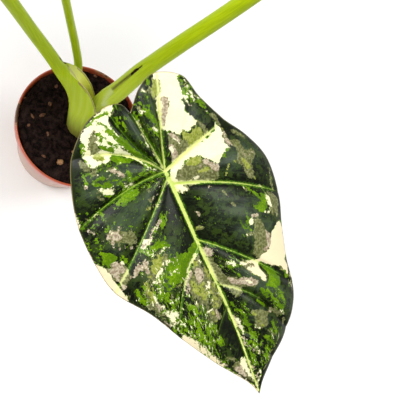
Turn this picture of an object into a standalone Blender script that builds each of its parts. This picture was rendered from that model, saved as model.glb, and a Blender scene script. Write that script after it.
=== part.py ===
"""A potted alocasia: a variegated house plant in a small plastic nursery pot.

The plant stands upright on the XY plane. The origin is the middle of the pot's underside,
+Z is up, and the largest face-on leaf hangs towards -Y. All sizes below are in millimetres
and become metres when a mesh is made.
"""

import math

import bmesh
import bpy
from mathutils import Matrix, Vector

MM = 0.001
CLEARANCE = 0.3

# Pot: a tapered nursery pot with a rolled lip and drainage holes
POT_HEIGHT = 92.0
POT_TOP_RADIUS = 52.5
POT_BASE_RADIUS = 38.5
POT_WALL = 1.6
POT_FLOOR = 2.4
LIP_HEIGHT = 10.0
LIP_WIDTH = 2.3
LIP_STEP = 1.3
LIP_ROUND = 1.0
DRAIN_SIDES = 14
FOOT_HEIGHT = 4.0
DRAIN_COUNT = 6
DRAIN_RADIUS = 4.5
DRAIN_CIRCLE = 26.0
POT_STEPS = 40

# Potting mix: fills the pot to a little under the lip, mounded round the stems
MIX_TOP = 87.6
MIX_MOUND = 1.4
MIX_CRUMB = 0.8
MIX_GAP = 0.6
MIX_SPOKES = 36
MIX_RINGS = 6
STEM_FOOT = 76.0
ROOTED = ("left", "front", "back")
HOLE_GAP = 0.75
HOLE_DEPTH = 30.0
HOLE_SECTIONS = 8

# Rhizome: the short buried stem under the sheathed base
RHIZOME_FOOT = 44.0
RHIZOME_RADIUS = 10.4
RHIZOME_RING = 0.7
RHIZOME_RING_PITCH = 6.0
RHIZOME_STEPS = 20

# Leaf: seen from above, tip at +Y, petiole at the origin, for a leaf at full size.
# Rows are vein number, x, y. Whole numbers are the ends of the side veins, counted from the
# seam behind the petiole to the tip; the rows between them shape the margin.
LEAF_THICKNESS = 0.8
LEAF_TIP = 152.0
LEAF_TIP_X = -1.0
LEAF_SEAM = -41.0
LEAF_SEAM_X = 5.7
FAN_FOOT = -3.0
BROAD_MARGIN = [
    (0.0, LEAF_SEAM_X, LEAF_SEAM), (0.5, -4.4, -52.0), (1.0, -17.0, -55.2),
    (1.3, -31.0, -47.6), (1.6, -36.8, -33.0), (2.0, -48.0, -14.0), (2.35, -59.0, 1.0),
    (2.7, -68.0, 20.5), (3.0, -67.0, 43.0), (3.4, -59.0, 62.0), (3.75, -53.0, 83.0),
    (4.0, -51.5, 100.0), (4.5, -44.0, 113.5), (5.0, -35.0, 122.7), (6.0, -18.5, 135.0),
    (6.6, -7.0, 144.5), (7.0, LEAF_TIP_X, LEAF_TIP)]
NARROW_MARGIN = [
    (0.0, LEAF_SEAM_X, LEAF_SEAM), (0.5, 10.0, -47.6), (1.0, 18.5, -49.3), (1.5, 32.5, -45.4),
    (2.0, 46.5, -31.0), (2.5, 54.5, -11.5), (3.0, 58.0, 6.0), (3.5, 58.5, 27.0),
    (4.0, 55.0, 47.5), (4.5, 42.3, 68.2), (5.0, 31.8, 90.7), (6.0, 18.5, 116.0),
    (6.5, 8.5, 132.0), (6.8, 2.8, 141.5), (7.0, LEAF_TIP_X, LEAF_TIP)]
# Rows are vein number, distance of its foot along the midrib, sideways bow
BROAD_VEINS = [
    (0.0, FAN_FOOT, 0.0), (1.0, FAN_FOOT, 4.0), (2.0, FAN_FOOT, 1.0), (3.0, 5.0, 3.2),
    (4.0, 41.0, 2.5), (5.0, 72.0, 6.0), (6.0, 104.0, 3.0), (7.0, LEAF_TIP, 0.0)]
NARROW_VEINS = [
    (0.0, FAN_FOOT, 0.0), (1.0, FAN_FOOT, -3.0), (2.0, FAN_FOOT, 7.4), (3.0, FAN_FOOT, 4.2),
    (4.0, 0.5, 0.0), (5.0, 45.0, 5.5), (6.0, 88.0, 3.0), (7.0, LEAF_TIP, 0.0)]
# The seam and midrib: rows of distance along the leaf, and how far it lies to the side
MIDRIB = [(LEAF_SEAM, LEAF_SEAM_X), (FAN_FOOT, 0.9), (40.0, 0.0), (98.0, -2.3), (130.0, -1.8),
          (LEAF_TIP, LEAF_TIP_X)]
MIDRIB_STATIONS = [-2.1, -1.2, -0.4, 0.5, 2.7, 5, 14, 23, 32, 41, 50, 59, 66, 72, 80, 88, 96,
                   104, 119, 135, 152]
FAN_STEP = 0.25
LEAF_HALF_WIDTH = 61.0
LEAF_DROOP = 12.0
LEAF_SIDE_DROOP = 9.0
LEAF_LOBE_LIFT = 2.0
LEAF_KEEL = 2.2
KEEL_WIDTH = 12.0
LEAF_BULGE = 3.6
BULGE_SPAN = 55.0
MARGIN_ROLL = 2.4
NARROW_SPAN = 30.0

PETIOLE_SIDES = 11
CHANNEL_SIDES = 6
SHEATH_SPACING = 6.5
STEM_SPACING = 16.0
BLADE_STANDOFF = 0.4

# Each leaf: where its blade is carried, which way its tip and its face point, its size, and
# how many rings of faces it has from midrib to margin.
LEAVES = {
    "front": dict(at=(9.0, -77.0, 300.0), tip=(0.487, -0.857, -0.17), face=(0.06, -0.16, 0.985),
                  size=1.0, mirrored=False, rings=7),
    "left": dict(at=(-125.0, 54.0, 318.0), tip=(-0.84, 0.36, -0.4), face=(-0.35, 0.1, 0.93),
                 size=0.86, mirrored=True, rings=5),
    "right": dict(at=(133.0, 101.0, 345.0), tip=(0.36, 0.87, -0.34), face=(0.2, 0.3, 0.93),
                  size=1.0, mirrored=True, rings=5),
    "back": dict(at=(-52.0, 122.0, 338.0), tip=(-0.16, 0.93, -0.33), face=(-0.05, 0.33, 0.94),
                 size=0.68, mirrored=False, rings=5),
}

# Each petiole: points up its middle, the way its sheath opens, and rows of height above the
# foot, stem radius, sheath radius, half the opening's angle and the share of the sheath's
# width that the channel leaves solid.
PETIOLES = {
    "left": dict(
        path=[(3, 1, STEM_FOOT), (3, 1, 80), (3, 1.4, 86), (1, 7, 99.5), (-4, 14.5, 113),
              (-13, 22, 128), (-25.5, 28, 145), (-38, 33, 165), (-55.3, 37.5, 195),
              (-75, 41, 233), (-96, 45, 270), (-112, 49.5, 296)],
        opening=(0.84, 0.2, 0.5),
        rows=[(0, 10.0, 10.0, 15, 1.0), (8, 11.4, 11.4, 18, 1.0), (13, 12.4, 12.6, 26, 0.5),
              (19, 12.4, 13.0, 34, 0.16), (28, 11.6, 13.0, 38, 0.13), (38, 9.6, 12.4, 42, 0.22),
              (50, 7.4, 11.4, 44, 0.44), (62, 6.1, 10.4, 46, 0.62), (74, 5.4, 9.0, 50, 0.74),
              (82, 5.3, 7.0, 44, 0.86), (88, 5.2, 5.2, 25, 1.0), (150, 4.7, 4.7, 25, 1.0),
              (999, 3.8, 3.8, 25, 1.0)]),
    "right": dict(
        path=[(2.3, 4.5, 93.3), (2.8, 5.6, 96.2), (4.6, 8, 103), (11, 13, 115), (22.4, 20, 133),
              (35.4, 31.4, 160), (53.2, 42.8, 195), (68.7, 52, 222), (82.2, 60, 250),
              (100, 72, 285), (118, 87, 316)],
        opening=(-0.5, 0.0, 0.85),
        rows=[(0, 5.0, 5.0, 20, 1.0), (10, 5.4, 5.4, 24, 1.0), (19, 5.8, 6.0, 28, 0.96),
              (29, 6.3, 7.2, 34, 0.86), (38, 6.5, 8.0, 34, 0.84), (50, 6.6, 7.8, 22, 0.86),
              (64, 6.6, 7.4, 11, 0.88), (80, 6.6, 7.0, 8, 0.92), (90, 6.6, 6.6, 8, 1.0),
              (190, 6.1, 6.1, 20, 1.0), (999, 4.8, 4.8, 20, 1.0)]),
    "front": dict(
        path=[(17.4, -9.4, 74), (17.4, -9.4, 80), (17.4, -9.6, 90), (16.6, -12, 108),
              (15, -24, 150), (13, -41, 200), (11, -61, 255), (9.8, -72.5, 286)],
        opening=(-0.3, 0.6, 0.7),
        rows=[(0, 4.8, 4.8, 20, 1.0), (8, 5.4, 5.4, 24, 1.0), (26, 5.4, 6.6, 40, 0.7),
              (44, 5.2, 6.4, 42, 0.74), (60, 5.0, 5.0, 20, 1.0), (150, 4.4, 4.4, 20, 1.0),
              (999, 3.8, 3.8, 20, 1.0)]),
    "back": dict(
        path=[(-5, 20.5, 72), (-5, 20.5, 78), (-5, 22, 89), (-6, 28, 103), (-9, 38.5, 128),
              (-17.8, 45.2, 158), (-26.2, 48, 185), (-38.9, 49.8, 228), (-45.3, 51.6, 250),
              (-50, 62, 282), (-51.5, 94, 317)],
        opening=(0.2, -0.6, 0.7),
        rows=[(0, 3.6, 3.6, 20, 1.0), (14, 3.8, 3.8, 24, 1.0), (30, 3.6, 4.4, 40, 0.7),
              (44, 3.4, 3.4, 20, 1.0), (150, 2.9, 2.9, 20, 1.0), (999, 2.4, 2.4, 20, 1.0)]),
}


# Smooth lines through hand-placed rows

def smooth_row(rows, key):
    """Values at key on a smooth line through rows, whose first column rises steadily."""
    key = min(max(key, rows[0][0]), rows[-1][0])
    i = 0
    while i < len(rows) - 2 and key > rows[i + 1][0]:
        i += 1
    span = rows[i + 1][0] - rows[i][0]
    u = (key - rows[i][0]) / span

    def slope(at, column):
        before = rows[max(at - 1, 0)]
        after = rows[min(at + 1, len(rows) - 1)]
        return (after[column] - before[column]) / (after[0] - before[0]) * span

    values = []
    for column in range(1, len(rows[0])):
        start, end = rows[i][column], rows[i + 1][column]
        m0, m1 = slope(i, column), slope(i + 1, column)
        values.append((2 * u**3 - 3 * u**2 + 1) * start + (u**3 - 2 * u**2 + u) * m0
                      + (3 * u**2 - 2 * u**3) * end + (u**3 - u**2) * m1)
    return values


def straight_row(rows, key):
    """Values at key on straight lines through rows."""
    key = min(max(key, rows[0][0]), rows[-1][0])
    i = 0
    while i < len(rows) - 2 and key > rows[i + 1][0]:
        i += 1
    u = (key - rows[i][0]) / (rows[i + 1][0] - rows[i][0])
    return [a + (b - a) * u for a, b in zip(rows[i][1:], rows[i + 1][1:])]


# Objects and materials

def material(name, colour, roughness, coat=0.0):
    """A Principled material with one colour."""
    made = bpy.data.materials.new(name)
    made.use_nodes = True
    shader = made.node_tree.nodes["Principled BSDF"]
    shader.inputs["Base Color"].default_value = (*colour, 1.0)
    shader.inputs["Roughness"].default_value = roughness
    shader.inputs["Coat Weight"].default_value = coat
    return made


def add_object(name, bm, collection, finish):
    """Put a bmesh whose points are in millimetres into the scene as a named object."""
    bmesh.ops.scale(bm, vec=(MM, MM, MM), verts=bm.verts)
    mesh = bpy.data.meshes.new(name)
    bm.to_mesh(mesh)
    bm.free()
    mesh.shade_smooth()
    made = bpy.data.objects.new(name, mesh)
    collection.objects.link(made)
    if finish:
        mesh.materials.append(finish)
    return made


def cutter(name, bm, collection):
    """A wire-shown shape that only cuts others."""
    made = add_object(name, bm, collection, None)
    made.hide_render = True
    made.display_type = "WIRE"
    return made


def cut(target, tool):
    """Subtract tool from target."""
    step = target.modifiers.new("cut_" + tool.name, "BOOLEAN")
    step.operation = "DIFFERENCE"
    step.solver = "EXACT"
    step.object = tool


def turned(name, profile, steps, collection, finish):
    """A solid turned round Z from a profile of radius and height that runs down its outside."""
    bm = bmesh.new()
    points = [bm.verts.new((radius, 0.0, height)) for radius, height in profile]
    for a, b in zip(points, points[1:]):
        bm.edges.new((a, b))
    made = add_object(name, bm, collection, finish)
    screw = made.modifiers.new("turn", "SCREW")
    screw.axis = "Z"
    screw.steps = steps
    screw.render_steps = steps
    screw.use_merge_vertices = True
    screw.merge_threshold = 0.00005
    return made


# Pot

def pot_radius(height):
    """Outer radius of the tapered wall at a height."""
    wall_top = POT_TOP_RADIUS - LIP_STEP
    return POT_BASE_RADIUS + (wall_top - POT_BASE_RADIUS) * height / POT_HEIGHT


def inner_wall():
    """Height and radius rows up the inside of the pot, from floor to lip."""
    lip_foot = POT_HEIGHT - LIP_HEIGHT
    lip_inner = POT_TOP_RADIUS - LIP_WIDTH
    return [(POT_FLOOR, pot_radius(POT_FLOOR) - POT_WALL),
            (lip_foot - 2.0, pot_radius(lip_foot) - POT_WALL),
            (POT_HEIGHT - 2.5, lip_inner), (POT_HEIGHT - 0.5, lip_inner + 0.5)]


def build_pot(parts, cutters, finish):
    """The turned pot, with its rolled lip, and the drainage holes in its floor."""
    lip_foot = POT_HEIGHT - LIP_HEIGHT
    lip_inner = POT_TOP_RADIUS - LIP_WIDTH
    profile = [(0.0, POT_FLOOR)] + [(radius, height) for height, radius in inner_wall()]
    profile += [
        (lip_inner + LIP_ROUND, POT_HEIGHT), (POT_TOP_RADIUS - LIP_ROUND, POT_HEIGHT),
        (POT_TOP_RADIUS - 0.2, POT_HEIGHT - 0.8), (POT_TOP_RADIUS - 0.5, lip_foot + 0.6),
        (POT_TOP_RADIUS - LIP_ROUND, lip_foot), (pot_radius(lip_foot), lip_foot - 0.3),
        (pot_radius(FOOT_HEIGHT) + 0.4, FOOT_HEIGHT), (POT_BASE_RADIUS, FOOT_HEIGHT - 0.4),
        (POT_BASE_RADIUS - 0.3, 0.6), (POT_BASE_RADIUS - LIP_ROUND, 0.0), (0.0, 0.0)]
    pot = turned("pot", profile, POT_STEPS, parts, finish)
    for i in range(DRAIN_COUNT):
        angle = 2 * math.pi * (i + 0.5) / DRAIN_COUNT
        bm = bmesh.new()
        bmesh.ops.create_cone(bm, cap_ends=True, segments=DRAIN_SIDES, radius1=DRAIN_RADIUS,
                              radius2=DRAIN_RADIUS, depth=4 * POT_FLOOR)
        place = Vector((DRAIN_CIRCLE * math.cos(angle), DRAIN_CIRCLE * math.sin(angle), 0))
        bmesh.ops.translate(bm, vec=place, verts=bm.verts)
        cut(pot, cutter(f"drain_{i}", bm, cutters))
    return pot


# Potting mix and rhizome

def mix_height(x, y):
    """Height of the crumbly surface of the potting mix."""
    stem = PETIOLES["left"]["path"][0]
    away = math.hypot(x - stem[0], y - stem[1])
    mound = MIX_MOUND * math.exp(-(away / 24.0) ** 2)
    crumbs = (math.sin(0.31 * x + 1.3) * math.cos(0.27 * y - 0.4)
              + 0.6 * math.sin(0.62 * x - 0.45 * y) + 0.5 * math.cos(0.9 * y + 0.5 * x))
    return MIX_TOP + mound + MIX_CRUMB * crumbs


def build_mix(parts, cutters, finish):
    """The mix with its roots, one solid that fills the pot, with plain holes for the stems."""
    bm = bmesh.new()
    wall = inner_wall()
    foot = POT_FLOOR + CLEARANCE
    shoulder = wall[1][0]
    rings = [(0.0, foot)]
    for height in (foot, shoulder):
        rings.append((straight_row(wall, height)[0] - MIX_GAP, height))
    edge = straight_row(wall, MIX_TOP)[0] - MIX_GAP
    rings += [(edge * k / MIX_RINGS, None) for k in range(MIX_RINGS, -1, -1)]
    loops = []
    for radius, height in rings:
        loop = []
        for j in range(MIX_SPOKES):
            angle = 2 * math.pi * j / MIX_SPOKES
            x, y = radius * math.cos(angle), radius * math.sin(angle)
            z = mix_height(x, y) if height is None else height
            loop.append(bm.verts.new((x, y, z)))
        loops.append(loop)
    for low, high in zip(loops, loops[1:]):
        for j in range(MIX_SPOKES):
            k = (j + 1) % MIX_SPOKES
            bm.faces.new((low[j], low[k], high[k], high[j]))
    bmesh.ops.remove_doubles(bm, verts=bm.verts, dist=0.01)
    bmesh.ops.recalc_face_normals(bm, faces=bm.faces)
    mix = add_object("potting_mix", bm, parts, finish)
    for name in ROOTED:
        cut(mix, stem_hole(name, PETIOLES[name], cutters))
    cut(mix, rhizome_hole(cutters))
    return mix


def stem_hole(name, petiole, cutters):
    """A plain hole that a stem stands in: its own round shape, a little wider."""
    x, y, foot = petiole["path"][0]
    rows = path_rows([(x, y, foot - HOLE_GAP)] + petiole["path"])
    opening = Vector(petiole["opening"])
    bm = bmesh.new()
    loops = []
    for step in range(HOLE_SECTIONS + 1):
        s = HOLE_DEPTH * step / HOLE_SECTIONS
        stem, sheath, half_angle, _ = straight_row(petiole["rows"], s - HOLE_GAP)
        row = (stem + HOLE_GAP, sheath + HOLE_GAP, half_angle, 1.0)
        loops.append(section(*path_place(rows, s), opening, row))
    add_loft(bm, loops)
    return cutter("hole_" + name, bm, cutters)


def rhizome_hole(cutters):
    """The room that the rhizome takes in the mix."""
    bm = bmesh.new()
    depth = STEM_FOOT + HOLE_GAP - RHIZOME_FOOT
    radius = RHIZOME_RADIUS + HOLE_GAP
    bmesh.ops.create_cone(bm, cap_ends=True, segments=RHIZOME_STEPS, radius1=radius,
                          radius2=radius, depth=depth)
    x, y, _ = PETIOLES["left"]["path"][0]
    middle = RHIZOME_FOOT - HOLE_GAP + depth / 2
    bmesh.ops.translate(bm, vec=Vector((x, y, middle)), verts=bm.verts)
    return cutter("hole_rhizome", bm, cutters)


def build_rhizome(parts, finish):
    """The stubby ringed stem underground, which carries the sheathed base."""
    top = STEM_FOOT - CLEARANCE
    rings = int((top - RHIZOME_FOOT) / RHIZOME_RING_PITCH)
    profile = [(0.0, top), (RHIZOME_RADIUS - 1.2, top)]
    for i in range(2 * rings):
        height = top - 1.0 - i * RHIZOME_RING_PITCH / 2
        waist = RHIZOME_RING if i % 2 else 0.0
        taper = 0.08 * (top - height)
        profile.append((RHIZOME_RADIUS - waist - taper, height))
    profile += [(RHIZOME_RADIUS - 5.0, RHIZOME_FOOT + 0.8), (0.0, RHIZOME_FOOT)]
    rhizome = turned("rhizome", profile, RHIZOME_STEPS, parts, finish)
    x, y, _ = PETIOLES["left"]["path"][0]
    rhizome.location = (x * MM, y * MM, 0.0)
    return rhizome


# Petioles with their sheaths

def leaf_frame(leaf):
    """Origin and axes of a blade: across, towards the tip, out of its upper face."""
    tip = Vector(leaf["tip"]).normalized()
    face = Vector(leaf["face"])
    face = (face - face.dot(tip) * tip).normalized()
    return Vector(leaf["at"]), tip.cross(face), tip, face


def path_rows(points):
    """Rows of length so far, x, y and z along a line of points."""
    rows = [(0.0, *points[0])]
    for a, b in zip(points, points[1:]):
        rows.append((rows[-1][0] + (Vector(b) - Vector(a)).length, *b))
    return rows


def channel_arc(half_width, depth, count):
    """Points inside a round channel's arc from one lip to the other: across, and how deep."""
    swing = 2 * math.atan2(depth, half_width)
    if abs(swing) < 0.01:
        swing = 0.01
    radius = half_width / math.sin(swing)
    points = []
    for i in range(1, count + 1):
        angle = swing * (2 * i / (count + 1) - 1)
        points.append((radius * math.sin(angle), radius * (math.cos(angle) - math.cos(swing))))
    return points


def section(centre, along, opening, row):
    """One cross-section: the outer arc from wing to wing, then the channel between them."""
    stem, sheath, half_angle, solid = row
    toward = (opening - opening.dot(along) * along).normalized()
    across = along.cross(toward)
    middle = centre + toward * (sheath - stem)
    half = math.radians(half_angle)
    ring = []
    for i in range(PETIOLE_SIDES):
        angle = half + (2 * math.pi - 2 * half) * i / (PETIOLE_SIDES - 1)
        ring.append(middle + sheath * (math.cos(angle) * toward + math.sin(angle) * across))
    chord = middle + toward * sheath * math.cos(half)
    depth = sheath * (1 + math.cos(half)) - 2 * sheath * solid
    for reach, deep in channel_arc(sheath * math.sin(half), depth, CHANNEL_SIDES):
        ring.append(chord + across * reach - toward * deep)
    return ring


def section_places(length, sheath_end):
    """Distances up a petiole for its sections: close along the sheath, then wider."""
    low = round(sheath_end / SHEATH_SPACING)
    high = round((length - sheath_end) / STEM_SPACING)
    places = [sheath_end * k / low for k in range(low)]
    return places + [sheath_end + (length - sheath_end) * k / high for k in range(high + 1)]


def path_place(rows, s):
    """Middle and direction of a path at a distance along it."""
    along = Vector(smooth_row(rows, s + 1.0)) - Vector(smooth_row(rows, s - 1.0))
    return Vector(smooth_row(rows, s)), along.normalized()


def add_loft(bm, rings):
    """A closed skin through rings of points, with a cap at each end."""
    loops = [[bm.verts.new(point) for point in ring] for ring in rings]
    for low, high in zip(loops, loops[1:]):
        for j, _ in enumerate(low):
            k = (j + 1) % len(low)
            bm.faces.new((low[j], low[k], high[k], high[j]))
    bm.faces.new(reversed(loops[0]))
    bm.faces.new(loops[-1])
    bmesh.ops.triangulate(bm, faces=bm.faces)


def build_petiole(name, petiole, leaf, parts, finish):
    """A loft of sections from the foot of the sheath to the underside of the blade."""
    at, _, _, face = leaf_frame(leaf)
    end = at - face * (LEAF_THICKNESS + BLADE_STANDOFF)
    points = petiole["path"] + [tuple(end - face * 5.0), tuple(end)]
    rows = path_rows(points)
    length = rows[-1][0]
    sheath_end = petiole["rows"][-3][0]
    opening = Vector(petiole["opening"])
    bm = bmesh.new()
    rings = []
    for s in section_places(length, sheath_end):
        centre, along = path_place(rows, s)
        if s == 0:
            along = Vector((0, 0, 1))
        elif s == length:
            along = face
        rings.append(section(centre, along, opening, straight_row(petiole["rows"], s)))
    add_loft(bm, rings)
    return add_object("petiole_" + name, bm, parts, finish)


# Leaf blades

def vein_number(veins, station):
    """The vein number whose foot lies at a place along the midrib."""
    for (n0, v0, _), (n1, v1, _) in zip(veins, veins[1:]):
        if v1 > v0 and station <= v1:
            return n0 + (n1 - n0) * (station - v0) / (v1 - v0)
    return veins[-1][0]


def fan_end(veins):
    """The last vein number whose foot is at the petiole."""
    return max(n for n, foot, _ in veins if foot == FAN_FOOT)


def leaf_spokes(veins):
    """Vein numbers of the blade's spokes: a fan round the petiole, then up the midrib."""
    last = fan_end(veins)
    fan = [last * i / round(last / FAN_STEP) for i in range(round(last / FAN_STEP) + 1)]
    return fan + [vein_number(veins, station) for station in MIDRIB_STATIONS]


def leaf_point(margin, veins, side, number, reach):
    """Plan position at a vein number and a share of the way from midrib to margin."""
    foot, bow = straight_row(veins, number)
    start = smooth_row(MIDRIB, foot)[0]
    end_x, end_y = smooth_row(margin, number)
    dx, dy = end_x - start, end_y - foot
    length = math.hypot(dx, dy)
    if length < 0.01:
        return end_x, end_y, 0.0
    bend = 4 * reach * (1 - reach) * bow * min(1.0, length / NARROW_SPAN)
    x = start + dx * reach + side * dy / length * bend
    y = foot + dy * reach - side * dx / length * bend
    return x, y, length


def leaf_height(x, y, number, reach, length):
    """Height of the upper face: drooping tip and sides, veins in valleys, rolled margin."""
    droop = -LEAF_DROOP * (max(y, 0.0) / LEAF_TIP) ** 2
    lobes = LEAF_LOBE_LIFT * (min(y, 0.0) / LEAF_SEAM) ** 2
    aside = abs(x - smooth_row(MIDRIB, y)[0])
    sides = -LEAF_SIDE_DROOP * (abs(x) / LEAF_HALF_WIDTH) ** 2.4
    keel = LEAF_KEEL * (1 - math.exp(-aside / KEEL_WIDTH)) * min(1.0, length / NARROW_SPAN)
    puff = abs(math.sin(math.pi * number)) ** 0.75 * math.sin(0.85 * math.pi * reach ** 0.9)
    bulge = LEAF_BULGE * puff * min(1.0, length / BULGE_SPAN)
    roll = -MARGIN_ROLL * reach ** 9 * min(1.0, length / NARROW_SPAN)
    return droop + lobes + sides + keel + bulge + roll


def build_blade(name, leaf, parts, finish):
    """One leaf blade: a grid along its veins, given thickness below its upper face."""
    bm = bmesh.new()
    rings = leaf["rings"]
    for margin, veins, side in ((BROAD_MARGIN, BROAD_VEINS, -1), (NARROW_MARGIN, NARROW_VEINS, 1)):
        spokes = []
        for number in leaf_spokes(veins):
            spoke = []
            for ring in range(rings + 1):
                reach = (ring / rings) ** 0.85
                x, y, length = leaf_point(margin, veins, side, number, reach)
                spoke.append(bm.verts.new((x, y, leaf_height(x, y, number, reach, length))))
            spokes.append(spoke)
        for a, b in zip(spokes, spokes[1:]):
            for ring in range(rings):
                bm.faces.new((a[ring], a[ring + 1], b[ring + 1], b[ring]))
    bmesh.ops.remove_doubles(bm, verts=bm.verts, dist=0.02)
    bmesh.ops.dissolve_degenerate(bm, edges=bm.edges, dist=0.01)
    bmesh.ops.triangulate(bm, faces=bm.faces)
    size = leaf["size"]
    flip = -1.0 if leaf["mirrored"] else 1.0
    bmesh.ops.scale(bm, vec=(size * flip, size, size), verts=bm.verts)
    bmesh.ops.recalc_face_normals(bm, faces=bm.faces)
    if sum(face.normal.z * face.calc_area() for face in bm.faces) < 0:
        bmesh.ops.reverse_faces(bm, faces=bm.faces)
    blade = add_object("blade_" + name, bm, parts, finish)
    at, across, tip, face = leaf_frame(leaf)
    turn = Matrix((across, tip, face)).transposed().to_4x4()
    blade.matrix_world = Matrix.Translation(at * MM) @ turn
    wall = blade.modifiers.new("thickness", "SOLIDIFY")
    wall.thickness = LEAF_THICKNESS * MM
    wall.offset = -1.0
    return blade


def main():
    """Build the potted plant."""
    for old in list(bpy.data.objects):
        bpy.data.objects.remove(old, do_unlink=True)
    parts = bpy.data.collections.new("potted_alocasia")
    cutters = bpy.data.collections.new("cutters")
    for group in (parts, cutters):
        bpy.context.scene.collection.children.link(group)

    terracotta = material("terracotta_plastic", (0.42, 0.13, 0.07), 0.4)
    peat = material("peat_mix", (0.02, 0.012, 0.008), 0.95)
    cork = material("rhizome_skin", (0.2, 0.13, 0.07), 0.8)
    stem_green = material("petiole_green", (0.33, 0.5, 0.06), 0.4)
    leaf_green = material("variegated_leaf", (0.05, 0.13, 0.03), 0.3, coat=0.3)

    build_pot(parts, cutters, terracotta)
    build_mix(parts, cutters, peat)
    build_rhizome(parts, cork)
    for name, leaf in LEAVES.items():
        build_petiole(name, PETIOLES[name], leaf, parts, stem_green)
        build_blade(name, leaf, parts, leaf_green)


main()
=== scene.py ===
"""Looks for the potted alocasia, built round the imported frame.

Finer blades, petioles, pot and potting mix take the place of the plain solids and lie where
those lie. Lengths are in millimetres until a mesh is made.
"""

import math

import bmesh
import bpy
import numpy as np
from mathutils import Matrix, Vector, noise
from mathutils.bvhtree import BVHTree
from mathutils.geometry import intersect_line_plane
from mathutils.kdtree import KDTree


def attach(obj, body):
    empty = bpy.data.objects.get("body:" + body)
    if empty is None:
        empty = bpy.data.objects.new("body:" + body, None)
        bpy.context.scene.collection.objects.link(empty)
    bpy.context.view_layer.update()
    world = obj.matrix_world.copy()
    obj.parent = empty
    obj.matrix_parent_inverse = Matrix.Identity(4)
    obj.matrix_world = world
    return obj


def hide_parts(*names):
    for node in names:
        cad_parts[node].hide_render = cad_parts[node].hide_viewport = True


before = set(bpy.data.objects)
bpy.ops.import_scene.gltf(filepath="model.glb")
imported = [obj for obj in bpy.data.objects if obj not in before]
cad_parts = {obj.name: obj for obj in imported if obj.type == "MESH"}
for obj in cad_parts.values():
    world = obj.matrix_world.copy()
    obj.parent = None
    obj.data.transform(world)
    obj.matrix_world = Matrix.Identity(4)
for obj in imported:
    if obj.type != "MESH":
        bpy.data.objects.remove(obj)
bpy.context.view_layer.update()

MM = 0.001

# Pot
POT_HEIGHT = 92.0
POT_TOP_RADIUS = 52.5
POT_BASE_RADIUS = 38.5
POT_WALL = 1.6
POT_FLOOR = 2.4
LIP_HEIGHT = 10.0
LIP_WIDTH = 2.3
LIP_STEP = 1.3
LIP_FOOT = POT_HEIGHT - LIP_HEIGHT
LIP_INNER = POT_TOP_RADIUS - LIP_WIDTH
FOOT_HEIGHT = 4.0
DRAIN_COUNT = 6
DRAIN_RADIUS = 4.5
DRAIN_CIRCLE = 26.0
DRAIN_SIDES = 36
POT_STEPS = 144
POT_COAT = 0.4
# Where mix has smeared the pot's lip: radius, then points in millimetres
SMEARS = [
    (2.2, (-50.2, 11.5, 92.0), (-51.3, 5.0, 92.0), (-51.6, -1.0, 91.8)),
    (0.6, (15.0, 49.4, 91.5), (19.0, 48.0, 91.8), (24.0, 45.5, 91.5)),
    (0.3, (44.0, -26.0, 91.5), (46.5, -21.0, 91.5))]

# Potting mix
MIX_TOP = 87.6
MIX_MOUND = 1.4
MOUND_WIDTH = 24.0
MIX_CRUMB = 0.8
MIX_LUMP = 1.1
MIX_GAP = 0.5
MIX_SPOKES = 180
MIX_RINGS = 56
MIX_CENTRE = (3.0, 1.0)
# What the crumbs' node group takes, with sizes in metres
CRUMBS = {"Crumbs per square metre": 260000.0, "Smallest": 0.00035, "Largest": 0.0013}
# Chips that lie in the mix: x, y, length and width
BARK_CHIPS = [
    (-24, 17, 4.2, 3.0), (-30, 7, 6.0, 3.0), (-38, 5, 5.0, 2.4), (-28, -28, 4.0, 2.6),
    (-25, -9, 4.4, 2.2), (-45, 20, 3.6, 2.4), (24, 34, 5.0, 3.0), (38, 8, 4.2, 2.8),
    (30, -24, 5.0, 3.0), (4, -38, 4.4, 2.6), (-8, 40, 4.0, 2.6), (14, 46, 3.6, 2.4),
    (-19, 33, 3.4, 3.0), (-41, -3, 3.0, 2.4)]
PALE_CHIPS = [(-14, -32, 6.2, 5.0), (28, 20, 4.0, 3.2), (-4, -22, 2.4, 2.0)]
CHIP_TILT = 0.4
CHIP_ROUGH = 0.12

# Leaf plan: rows are vein number, x, y, for a leaf with its tip at +Y
LEAF_THICKNESS = 0.8
LEAF_TIP = 152.0
LEAF_TIP_X = -1.0
LEAF_SEAM = -41.0
LEAF_SEAM_X = 5.7
FAN_FOOT = -3.0
BROAD_MARGIN = [
    (0.0, LEAF_SEAM_X, LEAF_SEAM), (0.5, -4.4, -52.0), (1.0, -17.0, -55.2),
    (1.3, -31.0, -47.6), (1.6, -36.8, -33.0), (2.0, -48.0, -14.0), (2.35, -59.0, 1.0),
    (2.7, -68.0, 20.5), (3.0, -67.0, 43.0), (3.4, -59.0, 62.0), (3.75, -53.0, 83.0),
    (4.0, -51.5, 100.0), (4.5, -44.0, 113.5), (5.0, -35.0, 122.7), (6.0, -18.5, 135.0),
    (6.6, -7.0, 144.5), (7.0, LEAF_TIP_X, LEAF_TIP)]
NARROW_MARGIN = [
    (0.0, LEAF_SEAM_X, LEAF_SEAM), (0.5, 10.0, -47.6), (1.0, 18.5, -49.3), (1.5, 32.5, -45.4),
    (2.0, 46.5, -31.0), (2.5, 54.5, -11.5), (3.0, 58.0, 6.0), (3.5, 58.5, 27.0),
    (4.0, 55.0, 47.5), (4.5, 42.3, 68.2), (5.0, 31.8, 90.7), (6.0, 18.5, 116.0),
    (6.5, 8.5, 132.0), (6.8, 2.8, 141.5), (7.0, LEAF_TIP_X, LEAF_TIP)]
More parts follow.
